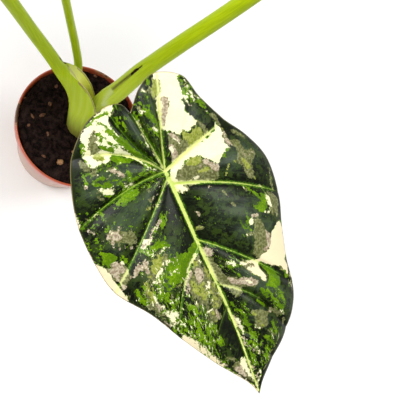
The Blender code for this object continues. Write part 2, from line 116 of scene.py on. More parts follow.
# Rows are vein number, distance of its foot along the midrib, sideways bow
BROAD_VEINS = [
    (0.0, FAN_FOOT, 0.0), (1.0, FAN_FOOT, 0.8), (2.0, FAN_FOOT, 1.0), (3.0, 5.0, 3.2),
    (4.0, 41.0, 2.5), (5.0, 72.0, 6.0), (6.0, 104.0, 3.0), (7.0, LEAF_TIP, 0.0)]
NARROW_VEINS = [
    (0.0, FAN_FOOT, 0.0), (1.0, FAN_FOOT, -3.0), (2.0, FAN_FOOT, 5.8), (3.0, FAN_FOOT, 4.2),
    (4.0, 0.5, 0.0), (5.0, 45.0, 5.5), (6.0, 88.0, 3.0), (7.0, LEAF_TIP, 0.0)]
# The seam and midrib: rows of distance along the leaf, and how far it lies to the side
MIDRIB = [(LEAF_SEAM, LEAF_SEAM_X), (FAN_FOOT, 0.9), (40.0, 0.0), (98.0, -2.3), (130.0, -1.8),
          (LEAF_TIP, LEAF_TIP_X)]
# Rows are vein number, half width of its pale line, how pale it is, the share of its length by
# which it has faded out, and how far it is cream rather than green
BROAD_LINES = [
    (1, 0.6, 1.0, 1.1, 0.7), (2, 1.0, 1.2, 0.9, 1.0), (3, 0.7, 1.0, 1.0, 0.4),
    (4, 0.35, 0.8, 0.9, 0.2), (5, 0.3, 0.4, 0.6, 0.3), (6, 0.3, 0.2, 0.5, 0.3)]
NARROW_LINES = [
    (1, 0.3, 0.35, 1.1, 0.0), (2, 0.6, 0.9, 0.85, 1.0), (3, 0.45, 0.8, 1.1, 0.1),
    (4, 0.4, 0.8, 1.3, 0.4), (5, 0.35, 0.6, 0.95, 0.3), (6, 0.3, 0.15, 0.6, 0.2)]
# Each half's margin, veins, pale lines and side
HALVES = ((BROAD_MARGIN, BROAD_VEINS, BROAD_LINES, -1),
          (NARROW_MARGIN, NARROW_VEINS, NARROW_LINES, 1))
# Pale lines from the petiole along the midrib and the seam: end, half width, how pale
MIDRIB_LINES = ((LEAF_TIP - 2, 1.25, 1.0), (LEAF_SEAM, 0.35, 0.8))
VEIN_FADE = 0.2
VEIN_TAPER = 0.7
LEAF_HALF_WIDTH = 61.0
LEAF_DROOP = 12.0
LEAF_SIDE_DROOP = 9.0
SIDE_DROOP_POWER = 2.4
LEAF_LOBE_LIFT = 2.0
LEAF_KEEL = 2.2
KEEL_WIDTH = 12.0
LEAF_BULGE = 3.6
BULGE_SPAN = 55.0
MARGIN_ROLL = 2.4
ROLL_POWER = 9
NARROW_SPAN = 30.0
FINE_RIPPLE = 0.3
RIPPLES_PER_VEIN = 4
RIPPLE_SLANT = 5
CALM_MIDDLE = 12.0
CALM_RUN = 30.0
RING_CROWDING = 0.85
FAN_WIDTH = 40.0
CROWDED_RUN = 8.0
CROWDED_COUNT = 24
VEIN_GROOVE = 0.8
VEIN_GROOVE_WIDTH = 1.8
GROOVE_FADE = 10.0

LEAVES = {
    "front": dict(at=(9.0, -77.0, 300.0), tip=(0.487, -0.857, -0.17), face=(0.06, -0.16, 0.985),
                  size=1.0, mirrored=False, step=0.8, rings=70, seed=1),
    "left": dict(at=(-125.0, 54.0, 318.0), tip=(-0.84, 0.36, -0.4), face=(-0.35, 0.1, 0.93),
                 size=0.86, mirrored=True, step=1.3, rings=44, seed=2),
    "right": dict(at=(133.0, 101.0, 345.0), tip=(0.36, 0.87, -0.34), face=(0.2, 0.3, 0.93),
                  size=1.0, mirrored=True, step=1.3, rings=44, seed=3),
    "back": dict(at=(-52.0, 122.0, 338.0), tip=(-0.16, 0.93, -0.33), face=(-0.05, 0.33, 0.94),
                 size=0.68, mirrored=False, step=1.5, rings=38, seed=4),
}

# Where the front leaf's tissue differs from plain dark green, painted in this order: kind, brush
# radius, then the stroke's points, all in pixels of the photograph's 416 by 416 frame. Radius 0
# fills the outline through the points.
FRONT_PATCHES = [
    # Right lobe
    ("cream", 0, (150, 66), (164, 64), (176, 70), (177, 79), (180, 83), (180, 86), (183, 89), (182, 94),
        (183, 97), (181, 101), (187, 113), (196, 121), (196, 125), (191, 127), (191, 131), (187, 132),
        (183, 130), (180, 136), (171, 131), (168, 133), (164, 130), (156, 113), (155, 103), (158, 92),
        (162, 90), (160, 84), (157, 80), (152, 79)),
    ("olive", 0, (152, 79), (158, 80), (161, 84), (162, 91), (155, 101), (152, 98), (150, 92)),
    ("pale", 1.6, (145, 84), (149, 87), (150, 92)), ("cream", 1, (141, 89), (145, 92)),
    ("lilac", 0, (161, 98), (165, 96), (168, 98), (169, 103), (165, 126), (162, 122), (160, 113),
        (158, 110), (163, 108), (164, 103)),
    ("green", 1.8, (140, 103), (150, 117), (156, 124)), ("cream", 1.1, (135, 104), (142, 113)),
    ("green", 1.3, (141, 80), (148, 84)), ("green", 1.2, (152, 116), (160, 133)),
    ("green", 1, (148, 126), (160, 138)), ("cream", 0.9, (153, 128), (156, 131)),
    ("grey", 0, (168, 133), (173, 132), (182, 140), (187, 139), (190, 142), (189, 150), (184, 157),
        (172, 165)),
    ("lilac", 2, (171, 148), (175, 153), (175, 161)), ("lilac", 1.2, (171, 134), (178, 140)),
    ("cream", 0.9, (174, 139), (180, 143)), ("cream", 0.8, (171, 147), (173, 152)),
    ("olive", 0, (180, 134), (183, 130), (188, 133), (191, 133), (191, 128), (197, 126), (201, 128),
        (203, 134), (207, 137), (203, 141), (190, 149), (188, 141), (183, 139)),
    ("grey", 0, (196, 120), (202, 121), (209, 133), (205, 138), (200, 126)),
    ("olive", 0, (205, 139), (212, 134), (216, 136), (215, 140), (204, 143)),
    ("green", 1.6, (181, 82), (183, 92), (185, 96)), ("green", 1, (189, 94), (191, 101)),
    ("cream", 1.6, (190, 92), (194, 100)), ("cream", 1.3, (184, 97), (187, 102)),
    ("cream", 1, (186, 86), (187, 98)), ("cream", 0.9, (195, 95), (198, 99)),
    ("cream", 1.1, (205, 109), (207, 112)), ("green", 1.5, (196, 100), (203, 107)),
    ("lilac", 1.1, (188, 104), (191, 106)), ("green", 1.1, (181, 100), (184, 106)),
    ("pale", 1, (186, 79), (184, 84)), ("dark", 3, (187, 109), (196, 112), (207, 124)),
    # Cream wedge under the first right vein
    ("cream", 0, (172, 163), (190, 147), (210, 135), (215, 130), (215, 124), (213, 120), (219, 126),
        (222, 131), (222, 136), (224, 142), (228, 146), (225, 150), (219, 162), (216, 163), (207, 158),
        (199, 156), (192, 157), (184, 163), (178, 172), (176, 178), (183, 185), (189, 187), (187, 191),
        (181, 193), (176, 190), (170, 178)),
    ("grey", 0, (187, 161), (191, 157), (198, 156), (205, 162), (216, 164), (219, 167), (219, 174),
        (217, 179), (210, 182), (190, 185), (181, 185), (177, 180), (177, 174)),
    ("olive", 0, (186, 162), (191, 157), (198, 156), (203, 159), (201, 163), (196, 165), (191, 164),
        (188, 166)),
    ("lilac", 0, (203, 160), (207, 158), (210, 162), (216, 163), (219, 167), (217, 170), (211, 168),
        (206, 165)),
    ("cream", 0.8, (190, 180), (199, 176)), ("olive", 1, (199, 172), (208, 168)),
    ("grey", 0, (221, 127), (230, 140), (234, 139), (239, 141), (242, 147), (246, 149), (252, 148),
        (255, 153), (252, 165), (253, 171), (251, 178), (246, 176), (244, 168), (240, 166), (237, 159),
        (237, 152), (234, 146), (229, 145), (224, 141)),
    ("lilac", 1.5, (223, 132), (226, 140), (230, 145)), ("olive", 2, (243, 160), (249, 168)),
    ("grey", 0, (208, 113), (214, 113), (219, 121), (221, 127)), ("grey", 1.3, (232, 131), (243, 136)),
    ("grey", 1.6, (268, 168), (270, 180), (273, 190)), ("olive", 1.1, (234, 160), (235, 162)),
    ("olive", 1.2, (229, 165), (225, 175)), ("pale", 0.8, (255, 178), (255, 179)),
    ("pale", 1, (256, 186), (263, 186)), ("pale", 1.3, (244, 188), (246, 189)),
    ("green", 1.4, (242, 185), (256, 193)),
    ("green", 0, (223, 149), (227, 147), (229, 149), (226, 152), (226, 157), (222, 158)),
    # Left lobe
    ("cream", 0, (76, 140), (80, 131), (96, 114), (104, 107), (112, 105), (113, 111), (109, 117),
        (110, 124), (118, 137), (119, 143), (121, 148), (128, 153), (134, 155), (138, 159), (158, 171),
        (148, 168), (134, 159), (125, 156), (110, 154), (110, 162), (100, 164), (97, 168), (91, 167),
        (83, 157), (82, 143)),
    ("grey", 0, (90, 133), (93, 130), (96, 135), (96, 142), (98, 147), (101, 150), (97, 154), (91, 155),
        (88, 150), (88, 141)),
    ("olive", 0, (93, 157), (99, 154), (105, 156), (104, 161), (100, 163), (96, 161)),
    ("green", 1.1, (86, 127), (94, 119), (107, 113)), ("green", 1, (96, 122), (104, 125), (108, 131)),
    ("green", 0, (104, 126), (127, 141), (133, 148), (156, 168), (150, 167), (134, 156), (121, 148),
        (107, 133)),
    ("green", 1.1, (96, 134), (106, 139)), ("green", 0.9, (99, 133), (100, 140), (104, 143)),
    ("green", 1.2, (105, 139), (110, 144), (116, 147)), ("green", 0.9, (112, 140), (115, 146)),
    ("green", 1.8, (100, 147), (113, 150)), ("green", 1.3, (82, 145), (84, 154)),
    ("green", 0, (109, 155), (134, 160), (128, 163), (118, 163), (112, 161)),
    ("grey", 0, (80, 160), (90, 167), (97, 170), (96, 175), (92, 176), (81, 168), (78, 163)),
    ("green", 0.9, (118, 113), (126, 131)), ("green", 0.8, (117, 118), (118, 127)),
    ("pale", 0.7, (131, 110), (142, 131)), ("cream", 1.1, (142, 134), (148, 146)),
    ("green", 0.9, (134, 113), (150, 146), (160, 163)), ("lilac", 1, (153, 151), (163, 168)),
    # Between the second and third left veins
    ("green", 1.1, (83, 172), (86, 186)),
    ("lilac", 0, (109, 169), (114, 168), (127, 177), (123, 178), (111, 173)),
    ("cream", 0.8, (115, 167), (121, 162)), ("green", 1.8, (128, 172), (131, 180), (138, 178)),
    ("green", 2.4, (120, 183), (126, 190), (136, 187)), ("green", 1.5, (93, 184), (110, 187)),
    ("green", 1.5, (140, 175), (150, 171), (160, 174)), ("cream", 0.9, (126, 186), (131, 184)),
    ("cream", 0, (96, 189), (102, 187), (104, 189), (110, 190), (114, 189), (114, 194), (110, 197),
        (105, 196)),
    ("grey", 1.6, (97, 194), (102, 199)), ("lilac", 0.8, (84, 187), (86, 189)),
    ("green", 0, (113, 203), (128, 192), (150, 182), (139, 191), (136, 198), (124, 206), (118, 207)),
    ("pale", 0.7, (148, 190), (158, 184)), ("pale", 1.2, (147, 209), (158, 205), (161, 202)),
    ("lilac", 0.8, (150, 200), (163, 192)), ("pale", 0.7, (163, 186), (170, 182)),
    # Under the third left vein
    ("cream", 1, (75, 215), (79, 227)), ("pale", 1, (85, 219), (92, 220), (98, 214)),
    ("green", 1.1, (100, 212), (103, 218)), ("green", 1.3, (107, 225), (109, 231)),
    ("cream", 0.9, (108, 223), (109, 224)), ("lilac", 1.2, (116, 223), (117, 224)),
    ("lilac", 0.9, (86, 231), (92, 231)), ("lilac", 0.9, (94, 234), (98, 234)),
    ("grey", 0, (106, 233), (126, 230), (131, 231), (136, 235), (137, 239), (133, 243), (128, 244),
        (122, 242), (112, 242), (107, 239)),
    ("lilac", 0, (106, 233), (118, 231), (120, 236), (117, 241), (110, 242), (106, 238)),
    ("lilac", 1, (109, 250), (115, 248)), ("lilac", 0.9, (119, 249), (130, 249), (137, 245)),
    ("green", 1, (101, 248), (110, 240)),
    ("green", 0, (101, 255), (105, 252), (110, 253), (116, 256), (119, 260), (115, 264), (109, 267),
        (105, 266), (102, 261)),
    ("green", 1.2, (122, 254), (125, 261)),
    ("lilac", 0, (107, 268), (113, 264), (118, 262), (122, 267), (128, 266), (130, 271), (130, 279),
        (124, 290)),
    ("grey", 0, (121, 270), (129, 268), (130, 278), (126, 285), (121, 279)),
    ("cream", 0.9, (119, 262), (123, 264)), ("cream", 1.2, (128, 263), (131, 265)),
    ("peach", 0, (97, 264), (106, 270), (119, 286), (129, 301), (120, 299), (110, 289), (100, 276)),
    ("peach", 1, (80, 240), (90, 257), (99, 268)),
    # Between the third left vein and the midrib
    ("cream", 2.1, (143, 248), (146, 243), (150, 241)), ("lilac", 0.9, (144, 247), (148, 243)),
    ("lilac", 1.3, (150, 241), (151, 235), (159, 222)), ("green", 1.8, (141, 251), (146, 252)),
    ("green", 0, (150, 252), (152, 246), (156, 242), (166, 241), (166, 246), (160, 249), (150, 257)),
    ("green", 1.5, (162, 215), (165, 222), (163, 228)), ("green", 1.4, (156, 228), (153, 236)),
    ("cream", 1.1, (152, 256), (160, 253), (164, 248), (169, 246)),
    ("lilac", 0, (134, 272), (136, 266), (141, 262), (147, 260), (150, 263), (149, 269), (139, 272),
        (134, 278)),
    ("pale", 0, (150, 260), (158, 256), (164, 256), (160, 262), (153, 264)),
    ("cream", 1.1, (152, 268), (157, 270)),
    ("cream", 1.3, (156, 277), (160, 273), (164, 266), (168, 265)),
    ("pale", 1.4, (162, 262), (166, 258)),
    ("green", 0, (180, 253), (187, 252), (195, 241), (198, 246), (198, 252), (194, 259), (184, 282),
        (178, 283), (172, 287), (167, 281), (170, 275), (167, 270), (169, 262), (174, 257), (178, 258)),
    ("cream", 0.9, (173, 262), (176, 258)), ("cream", 0.7, (175, 271), (178, 267)),
    ("cream", 1.3, (197, 254), (192, 262), (188, 272)), ("green", 1.6, (160, 281), (164, 276)),
    # Between the fourth left vein and the midrib
    ("pale", 0, (199, 255), (215, 283), (220, 295), (222, 303), (217, 310), (222, 317), (217, 322),
        (212, 323), (208, 318), (206, 307), (202, 305), (197, 306), (192, 298), (187, 293), (187, 282),
        (190, 272)),
    ("lilac", 0, (197, 268), (202, 271), (204, 277), (199, 283), (196, 280), (195, 273)),
    ("lilac", 1.5, (191, 273), (188, 283), (188, 292)),
    ("grey", 1.6, (194, 280), (197, 296), (203, 303)), ("olive", 2, (194, 286), (198, 293)),
    ("green", 0.9, (200, 261), (203, 268)), ("green", 1, (206, 287), (212, 298)),
    ("cream", 0.7, (208, 282), (210, 288)), ("dark", 1.4, (209, 300), (211, 308)),
    ("cream", 0.8, (208, 313), (212, 309)), ("lilac", 1.1, (216, 310), (219, 318)),
    ("dark", 0, (173, 287), (178, 284), (185, 284), (186, 290), (183, 308), (179, 306)),
    ("pale", 0.9, (177, 286), (181, 286)), ("green", 2, (192, 307), (197, 313), (198, 322)),
    ("green", 2, (202, 321), (207, 323), (212, 327), (211, 333)),
    ("green", 2.2, (197, 333), (205, 338), (208, 343)), ("green", 1.4, (189, 322), (193, 328)),
    ("green", 1.2, (214, 340), (222, 345)),
    # Lower left mosaic
    ("pale", 0, (145, 268), (157, 258), (165, 255), (167, 260), (161, 268), (153, 284), (154, 294),
        (163, 316), (168, 322), (163, 320), (156, 312), (150, 302), (146, 292), (150, 282), (146, 276)),
    ("olive", 1.4, (158, 262), (156, 272)), ("dark", 1, (150, 268), (151, 276)),
    ("cream", 1.3, (162, 266), (168, 262)), ("lilac", 1.4, (146, 268), (148, 272)),
    ("dark", 1.2, (156, 288), (158, 296)), ("olive", 1.6, (151, 290), (156, 303)),
    ("lilac", 1.3, (157, 303), (162, 312)), ("grey", 1.4, (144, 283), (148, 289)),
    ("cream", 0, (167, 312), (176, 310), (180, 315), (177, 320), (173, 323), (169, 319)),
    ("cream", 1.4, (154, 297), (156, 301)), ("cream", 1.4, (163, 306), (165, 311)),
    ("pale", 1.2, (171, 295), (172, 303)), ("pale", 1.4, (158, 290), (160, 283)),
    ("green", 1.8, (155, 283), (160, 290), (162, 300)), ("green", 1.4, (168, 290), (167, 301)),
    ("lilac", 1.3, (160, 319), (170, 327)), ("green", 1.8, (180, 330), (186, 336)),
    ("cream", 1, (172, 325), (180, 322)), ("cream", 0.8, (178, 329), (183, 325)),
    ("green", 1.8, (193, 322), (200, 330), (205, 342)), ("green", 1.8, (203, 335), (210, 345)),
    ("green", 1, (190, 330), (196, 338)),
    ("dark", 0, (129, 284), (133, 278), (140, 274), (147, 276), (150, 283), (146, 290), (142, 300),
        (135, 299), (129, 292)),
    ("green", 1.4, (137, 292), (141, 300), (147, 304)),
    ("green", 1.6, (167, 296), (173, 306), (174, 312)), ("green", 1.2, (164, 284), (169, 289)),
    ("green", 1.8, (176, 317), (184, 324), (190, 334)), ("olive", 1, (146, 284), (149, 290)),
    ("grey", 1.2, (150, 306), (155, 310)),
    ("peach", 0, (183, 335), (190, 337), (226, 365), (224, 372), (210, 366), (196, 358), (184, 347)),
    ("peach", 1.5, (226, 369), (250, 384), (258, 391)),
    # Towards the tip
    ("grey", 1.8, (227, 358), (234, 360)), ("lilac", 1.1, (222, 363), (226, 366)),
    ("grey", 0, (232, 366), (238, 362), (243, 362), (254, 382), (246, 380), (238, 374)),
    ("lilac", 1.1, (236, 368), (246, 376)),
    ("cream", 0, (234, 318), (240, 320), (246, 331), (244, 335), (236, 325)),
    ("lilac", 1.1, (233, 316), (243, 336), (246, 345)), ("green", 1.7, (244, 322), (249, 325), (250, 329)),
    ("green", 2.3, (252, 332), (257, 336)), ("green", 1.6, (250, 341), (255, 346)),
    ("cream", 0, (241, 358), (245, 356), (249, 368), (256, 380), (252, 379), (243, 368), (240, 362)),
    ("lilac", 1.6, (249, 362), (254, 369)), ("cream", 1.2, (260, 370), (261, 375), (258, 381)),
    ("green", 1.8, (253, 355), (255, 364)), ("green", 1.3, (263, 352), (267, 357)),
    ("lilac", 0.9, (258, 374), (256, 378)), ("cream", 1, (257, 383), (259, 391)),
    ("grey", 0, (246, 308), (250, 310), (262, 309), (266, 312), (270, 308), (276, 307), (281, 311),
        (282, 314), (277, 315), (272, 312), (268, 313), (267, 320), (268, 325), (263, 328), (258, 328),
        (254, 325), (256, 319)),
    ("pale", 1, (251, 311), (257, 317)), ("pale", 0.9, (259, 322), (264, 326)),
    ("cream", 0.9, (254, 327), (260, 328)),
    ("pale", 0.8, (282, 311), (284, 320), (280, 333), (269, 358), (264, 369)),
    ("grey", 1, (268, 330), (275, 334)), ("green", 1.6, (262, 289), (268, 297)),
    ("green", 1.6, (268, 290), (282, 309)), ("green", 1, (280, 292), (285, 303)),
    ("green", 1.1, (232, 305), (246, 316)), ("green", 1, (256, 300), (264, 305)),
    ("green", 1.2, (272, 322), (276, 332)), ("olive", 0.8, (262, 296), (258, 299)),
    ("green", 1.4, (262, 342), (258, 352)), ("green", 1.2, (246, 340), (250, 350)),
    ("cream", 0.7, (256, 346), (259, 352)), ("green", 1.2, (266, 336), (272, 342)),
    ("lilac", 0.8, (250, 346), (254, 350)),
    # Right of the midrib
    ("green", 0, (253, 205), (257, 206), (261, 201), (260, 193), (264, 192), (266, 203), (269, 208),
        (262, 212), (257, 209)),
    ("green", 1.3, (246, 212), (248, 218)), ("green", 1.2, (257, 195), (262, 200)),
    ("cream", 1.1, (265, 212), (269, 212)),
    ("grey", 0, (267, 191), (276, 195), (278, 207), (277, 216), (270, 208)),
    ("cream", 0, (265, 193), (270, 197), (271, 206), (267, 204)), ("dark", 3.5, (246, 246), (251, 247)),
    ("dark", 3, (269, 219), (272, 228)), ("pale", 1.2, (270, 206), (273, 214)),
    ("lilac", 1.5, (252, 216), (257, 214)),
    ("cream", 0, (246, 221), (250, 218), (254, 219), (254, 224), (250, 226), (246, 223)),
    ("cream", 1.7, (247, 235), (252, 233)), ("green", 1.7, (249, 228), (252, 231)),
    ("green", 1.3, (240, 222), (245, 228)),
    ("grey", 0, (254, 220), (259, 219), (263, 222), (266, 229), (269, 232), (270, 238), (270, 244),
        (267, 250), (257, 258), (251, 253), (254, 248), (254, 240), (252, 234), (254, 228)),
    ("lilac", 0, (266, 231), (270, 234), (270, 243), (267, 249), (264, 251), (267, 243)),
    ("peach", 0, (278, 220), (284, 222), (288, 250), (287, 260), (296, 276), (292, 290), (287, 277),
        (282, 270), (276, 266), (260, 262), (259, 266), (262, 271), (267, 276), (268, 281), (263, 281),
        (257, 275), (250, 272), (246, 267), (241, 265), (240, 262), (257, 259), (267, 251), (270, 245),
        (271, 233)),
    ("grey", 1, (246, 266), (253, 265)),
    ("green", 0, (260, 266), (265, 265), (271, 267), (275, 270), (279, 276), (281, 283), (279, 287),
        (270, 287), (263, 284), (267, 281), (268, 276), (266, 271)),
    ("green", 1.2, (284, 271), (288, 279), (289, 286)), ("olive", 0.9, (279, 267), (284, 273)),
    ("dark", 0.8, (286, 257), (294, 284)),
    ("grey", 0, (202, 246), (208, 247), (214, 250), (211, 258), (220, 268), (224, 275), (238, 279),
        (246, 276), (252, 277), (258, 280), (259, 284), (254, 287), (247, 286), (240, 289), (243, 292),
        (238, 297), (231, 292), (228, 288), (221, 286), (216, 280), (206, 259)),
    ("lilac", 0, (203, 246), (213, 250), (212, 256), (207, 254)),
    ("lilac", 0, (228, 277), (236, 280), (246, 277), (253, 278), (257, 283), (252, 286), (246, 283),
        (238, 284), (230, 281)),
    ("cream", 0.9, (246, 281), (253, 283)),
    ("cream", 1.2, (226, 265), (229, 262), (233, 263), (236, 266)),
    ("green", 1.3, (227, 267), (234, 266)), ("pale", 1.7, (197, 228), (203, 227)),
    ("lilac", 0.9, (194, 211), (199, 213), (199, 218)), ("grey", 1.2, (232, 203), (236, 207)),
    ("grey", 1.1, (223, 191), (227, 196)), ("lilac", 0.7, (209, 187), (214, 187)),
    ("green", 1.2, (195, 197), (198, 199)), ("green", 1.2, (182, 194), (186, 194))]
# Where it is flecked, and how densely: share, brush radius in pixels, the stroke's pixels
FRONT_FLECKS = [
    (0.9, 10, (100, 176), (128, 184), (155, 178)), (0.6, 10, (82, 178), (90, 196)),
    (0.7, 14, (92, 222), (110, 218), (128, 232)), (0.8, 8, (88, 230), (98, 250)),
    (0.7, 12, (165, 212), (176, 230), (162, 252)), (0.6, 8, (148, 206), (131, 240)),
    (1, 11, (138, 302), (155, 305), (175, 326)), (1.1, 11, (152, 262), (158, 285), (150, 300)),
    (0.9, 10, (168, 258), (175, 280)), (1.15, 13, (188, 300), (200, 322), (212, 345)),
    (1, 10, (200, 280), (212, 300)), (0.5, 12, (222, 345), (236, 360)), (1, 6, (200, 345), (222, 360)),
    (0.8, 8, (226, 298), (243, 316)), (0.9, 6, (248, 334), (262, 345)), (1, 8, (254, 340), (262, 358)),
    (0.9, 6, (276, 296), (282, 310)), (0.9, 6, (276, 330), (268, 345)),
    (0.5, 9, (206, 213), (232, 221), (250, 233)), (0.9, 8, (213, 250), (230, 264), (246, 268)),
    (0.6, 8, (118, 110), (128, 130), (148, 154)), (0.7, 6, (141, 102), (148, 128), (162, 152)),
    (0.9, 5, (184, 82), (191, 95), (201, 105)), (0.8, 6, (96, 130), (116, 146)),
    (0.8, 7, (244, 362), (252, 374)), (0.6, 10, (262, 160), (268, 196))]
# Whether a kind keeps its green upper and lower tissue, and its tint from olive to lilac
KINDS = {
    "dark": (1, 1, 0.0), "green": (1, -1, 0.0), "cream": (-1, -1, 0.0), "peach": (-1, -1, 1.0),
    "olive": (-1, 1, -1.0), "grey": (-1, 1, 0.0), "pale": (-1, 1, -0.5), "lilac": (-1, 1, 1.0)}
PATCH_REACH = 4.0
PATCH_EDGE = 1.5
PLAIN_FLECKS = 0.3
FLECK_FADE = 5.5
WEAVE_SPACING = 24.0
# Flecks of bright, grey, cream and island tissue: noise scale, the level above which one shows,
# how that level moves where the leaf is flecked, and seed
FLECK_NOISES = ((0.5, 0.70, -0.17, 9), (0.6, 0.76, -0.17, 10), (0.45, 0.765, -0.13, 12),
                (0.55, 0.75, -0.17, 14))
FLECK_GAIN = 110.0
# How far apart two seeds of a pattern lie in it
SEED_STEP = 37.0
# Markings of the leaves that the photograph doesn't show
RANDOM_PATCHES = 140
RANDOM_FLECKS = 14
RANDOM_KINDS = ("green", "green", "cream", "cream", "grey", "lilac", "olive", "pale", "dark")

# Petioles: points up the middle, the way the sheath opens, and rows of height above the foot,
# stem radius, sheath radius, half the opening's angle and the channel's solid share
PETIOLES = {
    "left": dict(
        path=[(3, 1, 76), (3, 1, 80), (3, 1.4, 86), (1, 7, 99.5), (-4, 14.5, 113),
              (-13, 22, 128), (-25.5, 28, 145), (-38, 33, 165), (-55.3, 37.5, 195),
              (-75, 41, 233), (-96, 45, 270), (-112, 49.5, 296)],
        opening=(0.84, 0.2, 0.5),
        rows=[(0, 10.0, 10.0, 15, 1.0), (8, 11.4, 11.4, 18, 1.0), (13, 12.4, 12.6, 26, 0.5),
              (19, 12.4, 13.0, 34, 0.16), (28, 11.6, 13.0, 38, 0.13), (38, 9.6, 12.4, 42, 0.22),
              (50, 7.4, 11.4, 44, 0.44), (62, 6.1, 10.4, 46, 0.62), (74, 5.4, 9.0, 50, 0.74),
              (82, 5.3, 7.0, 44, 0.86), (88, 5.2, 5.2, 25, 1.0), (150, 4.7, 4.7, 25, 1.0),
              (999, 3.8, 3.8, 25, 1.0)]),
    "right": dict(
        path=[(2.3, 4.5, 93.3), (2.8, 5.6, 96.2), (4.6, 8, 103), (11, 13, 115), (22.4, 20, 133),
              (35.4, 31.4, 160), (53.2, 42.8, 195), (68.7, 52, 222), (82.2, 60, 250),
              (100, 72, 285), (118, 87, 316)],
        opening=(-0.5, 0.0, 0.85),
        rows=[(0, 5.0, 5.0, 20, 1.0), (10, 5.4, 5.4, 24, 1.0), (19, 5.8, 6.0, 28, 0.96),
              (29, 6.3, 7.2, 34, 0.86), (38, 6.5, 8.0, 34, 0.84), (50, 6.6, 7.8, 22, 0.86),
              (64, 6.6, 7.4, 11, 0.88), (80, 6.6, 7.0, 8, 0.92), (90, 6.6, 6.6, 8, 1.0),
              (190, 6.1, 6.1, 20, 1.0), (999, 4.8, 4.8, 20, 1.0)]),
    "front": dict(
        path=[(17.4, -9.4, 74), (17.4, -9.4, 80), (17.4, -9.6, 90), (16.6, -12, 108),
              (15, -24, 150), (13, -41, 200), (11, -61, 255), (9.8, -72.5, 286)],
        opening=(-0.3, 0.6, 0.7),
        rows=[(0, 4.8, 4.8, 20, 1.0), (8, 5.4, 5.4, 24, 1.0), (26, 5.4, 6.6, 40, 0.7),
              (44, 5.2, 6.4, 42, 0.74), (60, 5.0, 5.0, 20, 1.0), (150, 4.4, 4.4, 20, 1.0),
              (999, 3.8, 3.8, 20, 1.0)]),
    "back": dict(
        path=[(-5, 20.5, 72), (-5, 20.5, 78), (-5, 22, 89), (-6, 28, 103), (-9, 38.5, 128),
              (-17.8, 45.2, 158), (-26.2, 48, 185), (-38.9, 49.8, 228), (-45.3, 51.6, 250),
              (-50, 62, 282), (-51.5, 94, 317)],
        opening=(0.2, -0.6, 0.7),
        rows=[(0, 3.6, 3.6, 20, 1.0), (14, 3.8, 3.8, 24, 1.0), (30, 3.6, 4.4, 40, 0.7),
              (44, 3.4, 3.4, 20, 1.0), (150, 2.9, 2.9, 20, 1.0), (999, 2.4, 2.4, 20, 1.0)]),
}
# Marks on the sheaths: kind, radius in millimetres, then the stroke's pixels in the photograph
MARKS = {
    "left": [
        ("dark", 1.0, (60, 58), (62, 60), (65, 63)),
        ("ridge", 1.0, (64, 62), (69, 68), (75, 76), (80, 84)),
        ("ridge", 0.4, (80, 84), (86, 93))],
    "right": [
        ("pale", 2.2, (104, 104), (106, 98), (111, 92)),
        ("shade", 0.8, (113, 89), (119, 84), (125, 79), (131, 75)),
        ("dark", 1.1, (132, 74), (135, 71), (138, 69)),
        ("dark", 0.4, (138, 69), (142, 66))]}
MARK_KINDS = ("dark", "ridge", "pale", "shade")
MARK_REACH = 6.0

PETIOLE_SIDES = 121
CHANNEL_SIDES = 40
SHEATH_SPACING = 0.8
STEM_SPACING = 3.5
BLADE_STANDOFF = 0.4
STRAIGHT_END = 5.0
NO_LIP = 9.0

FLOOR_HALF = 12000.0
SKY_STRENGTH = 0.38
# Lights: name, place in metres, size, power
LIGHTS = (("key", (-1.6, 0.2, 2.3), 1.6, 60.0), ("fill", (1.5, 0.5, 2.3), 1.4, 36.0))
LIT_PLACE = Vector((0, 0, 0.2))

# Camera, fitted to the pot's lip in the photograph, in metres
CAMERA_AT = (-0.1209, -0.1498, 0.6804)
CAMERA_X = (0.927, 0.0, 0.375)
CAMERA_Y = (-0.0502, 0.991, 0.124)
CAMERA_Z = (-0.3716, -0.1338, 0.9187)
# Lens and sensor in millimetres
CAMERA_LENS = 62.3
SENSOR_WIDTH = 36.0
# The photograph's width and the lens's focal length, both in its pixels
PHOTO_WIDTH = 416
FOCAL_PIXELS = PHOTO_WIDTH * CAMERA_LENS / SENSOR_WIDTH
# Pixels beside the front leaf are laid on a plane, this far under the petiole's end
BESIDE_LEAF = 5.0


# Smooth lines through rows

def row_span(rows, key):
    """Which two rows a key falls between, and the share of the way from one to the other."""
    key = min(max(key, rows[0][0]), rows[-1][0])
    i = 0
    while i < len(rows) - 2 and key > rows[i + 1][0]:
        i += 1
    return i, (key - rows[i][0]) / (rows[i + 1][0] - rows[i][0])


def straight_row(rows, key):
    """Values at key on straight lines through rows."""
    i, u = row_span(rows, key)
    return [a + (b - a) * u for a, b in zip(rows[i][1:], rows[i + 1][1:])]


def smooth_row(rows, key):
    """Values at key on a smooth line through rows, whose first column rises steadily."""
    i, u = row_span(rows, key)
    span = rows[i + 1][0] - rows[i][0]
    beside = [(rows[max(at - 1, 0)], rows[min(at + 1, len(rows) - 1)]) for at in (i, i + 1)]
    values = []
    for column in range(1, len(rows[0])):
        m0, m1 = ((after[column] - before[column]) / (after[0] - before[0]) * span
                  for before, after in beside)
        values.append((2 * u**3 - 3 * u**2 + 1) * rows[i][column] + (u**3 - 2 * u**2 + u) * m0
                      + (3 * u**2 - 2 * u**3) * rows[i + 1][column] + (u**3 - u**2) * m1)
    return values


# Materials

def colour(red, green, blue):
    """A linear colour from the 0 to 255 values that a screen shows."""
    linear = []
    for value in (red, green, blue):
        v = value / 255
        linear.append(v / 12.92 if v <= 0.04045 else ((v + 0.055) / 1.055) ** 2.4)
    return (*linear, 1.0)


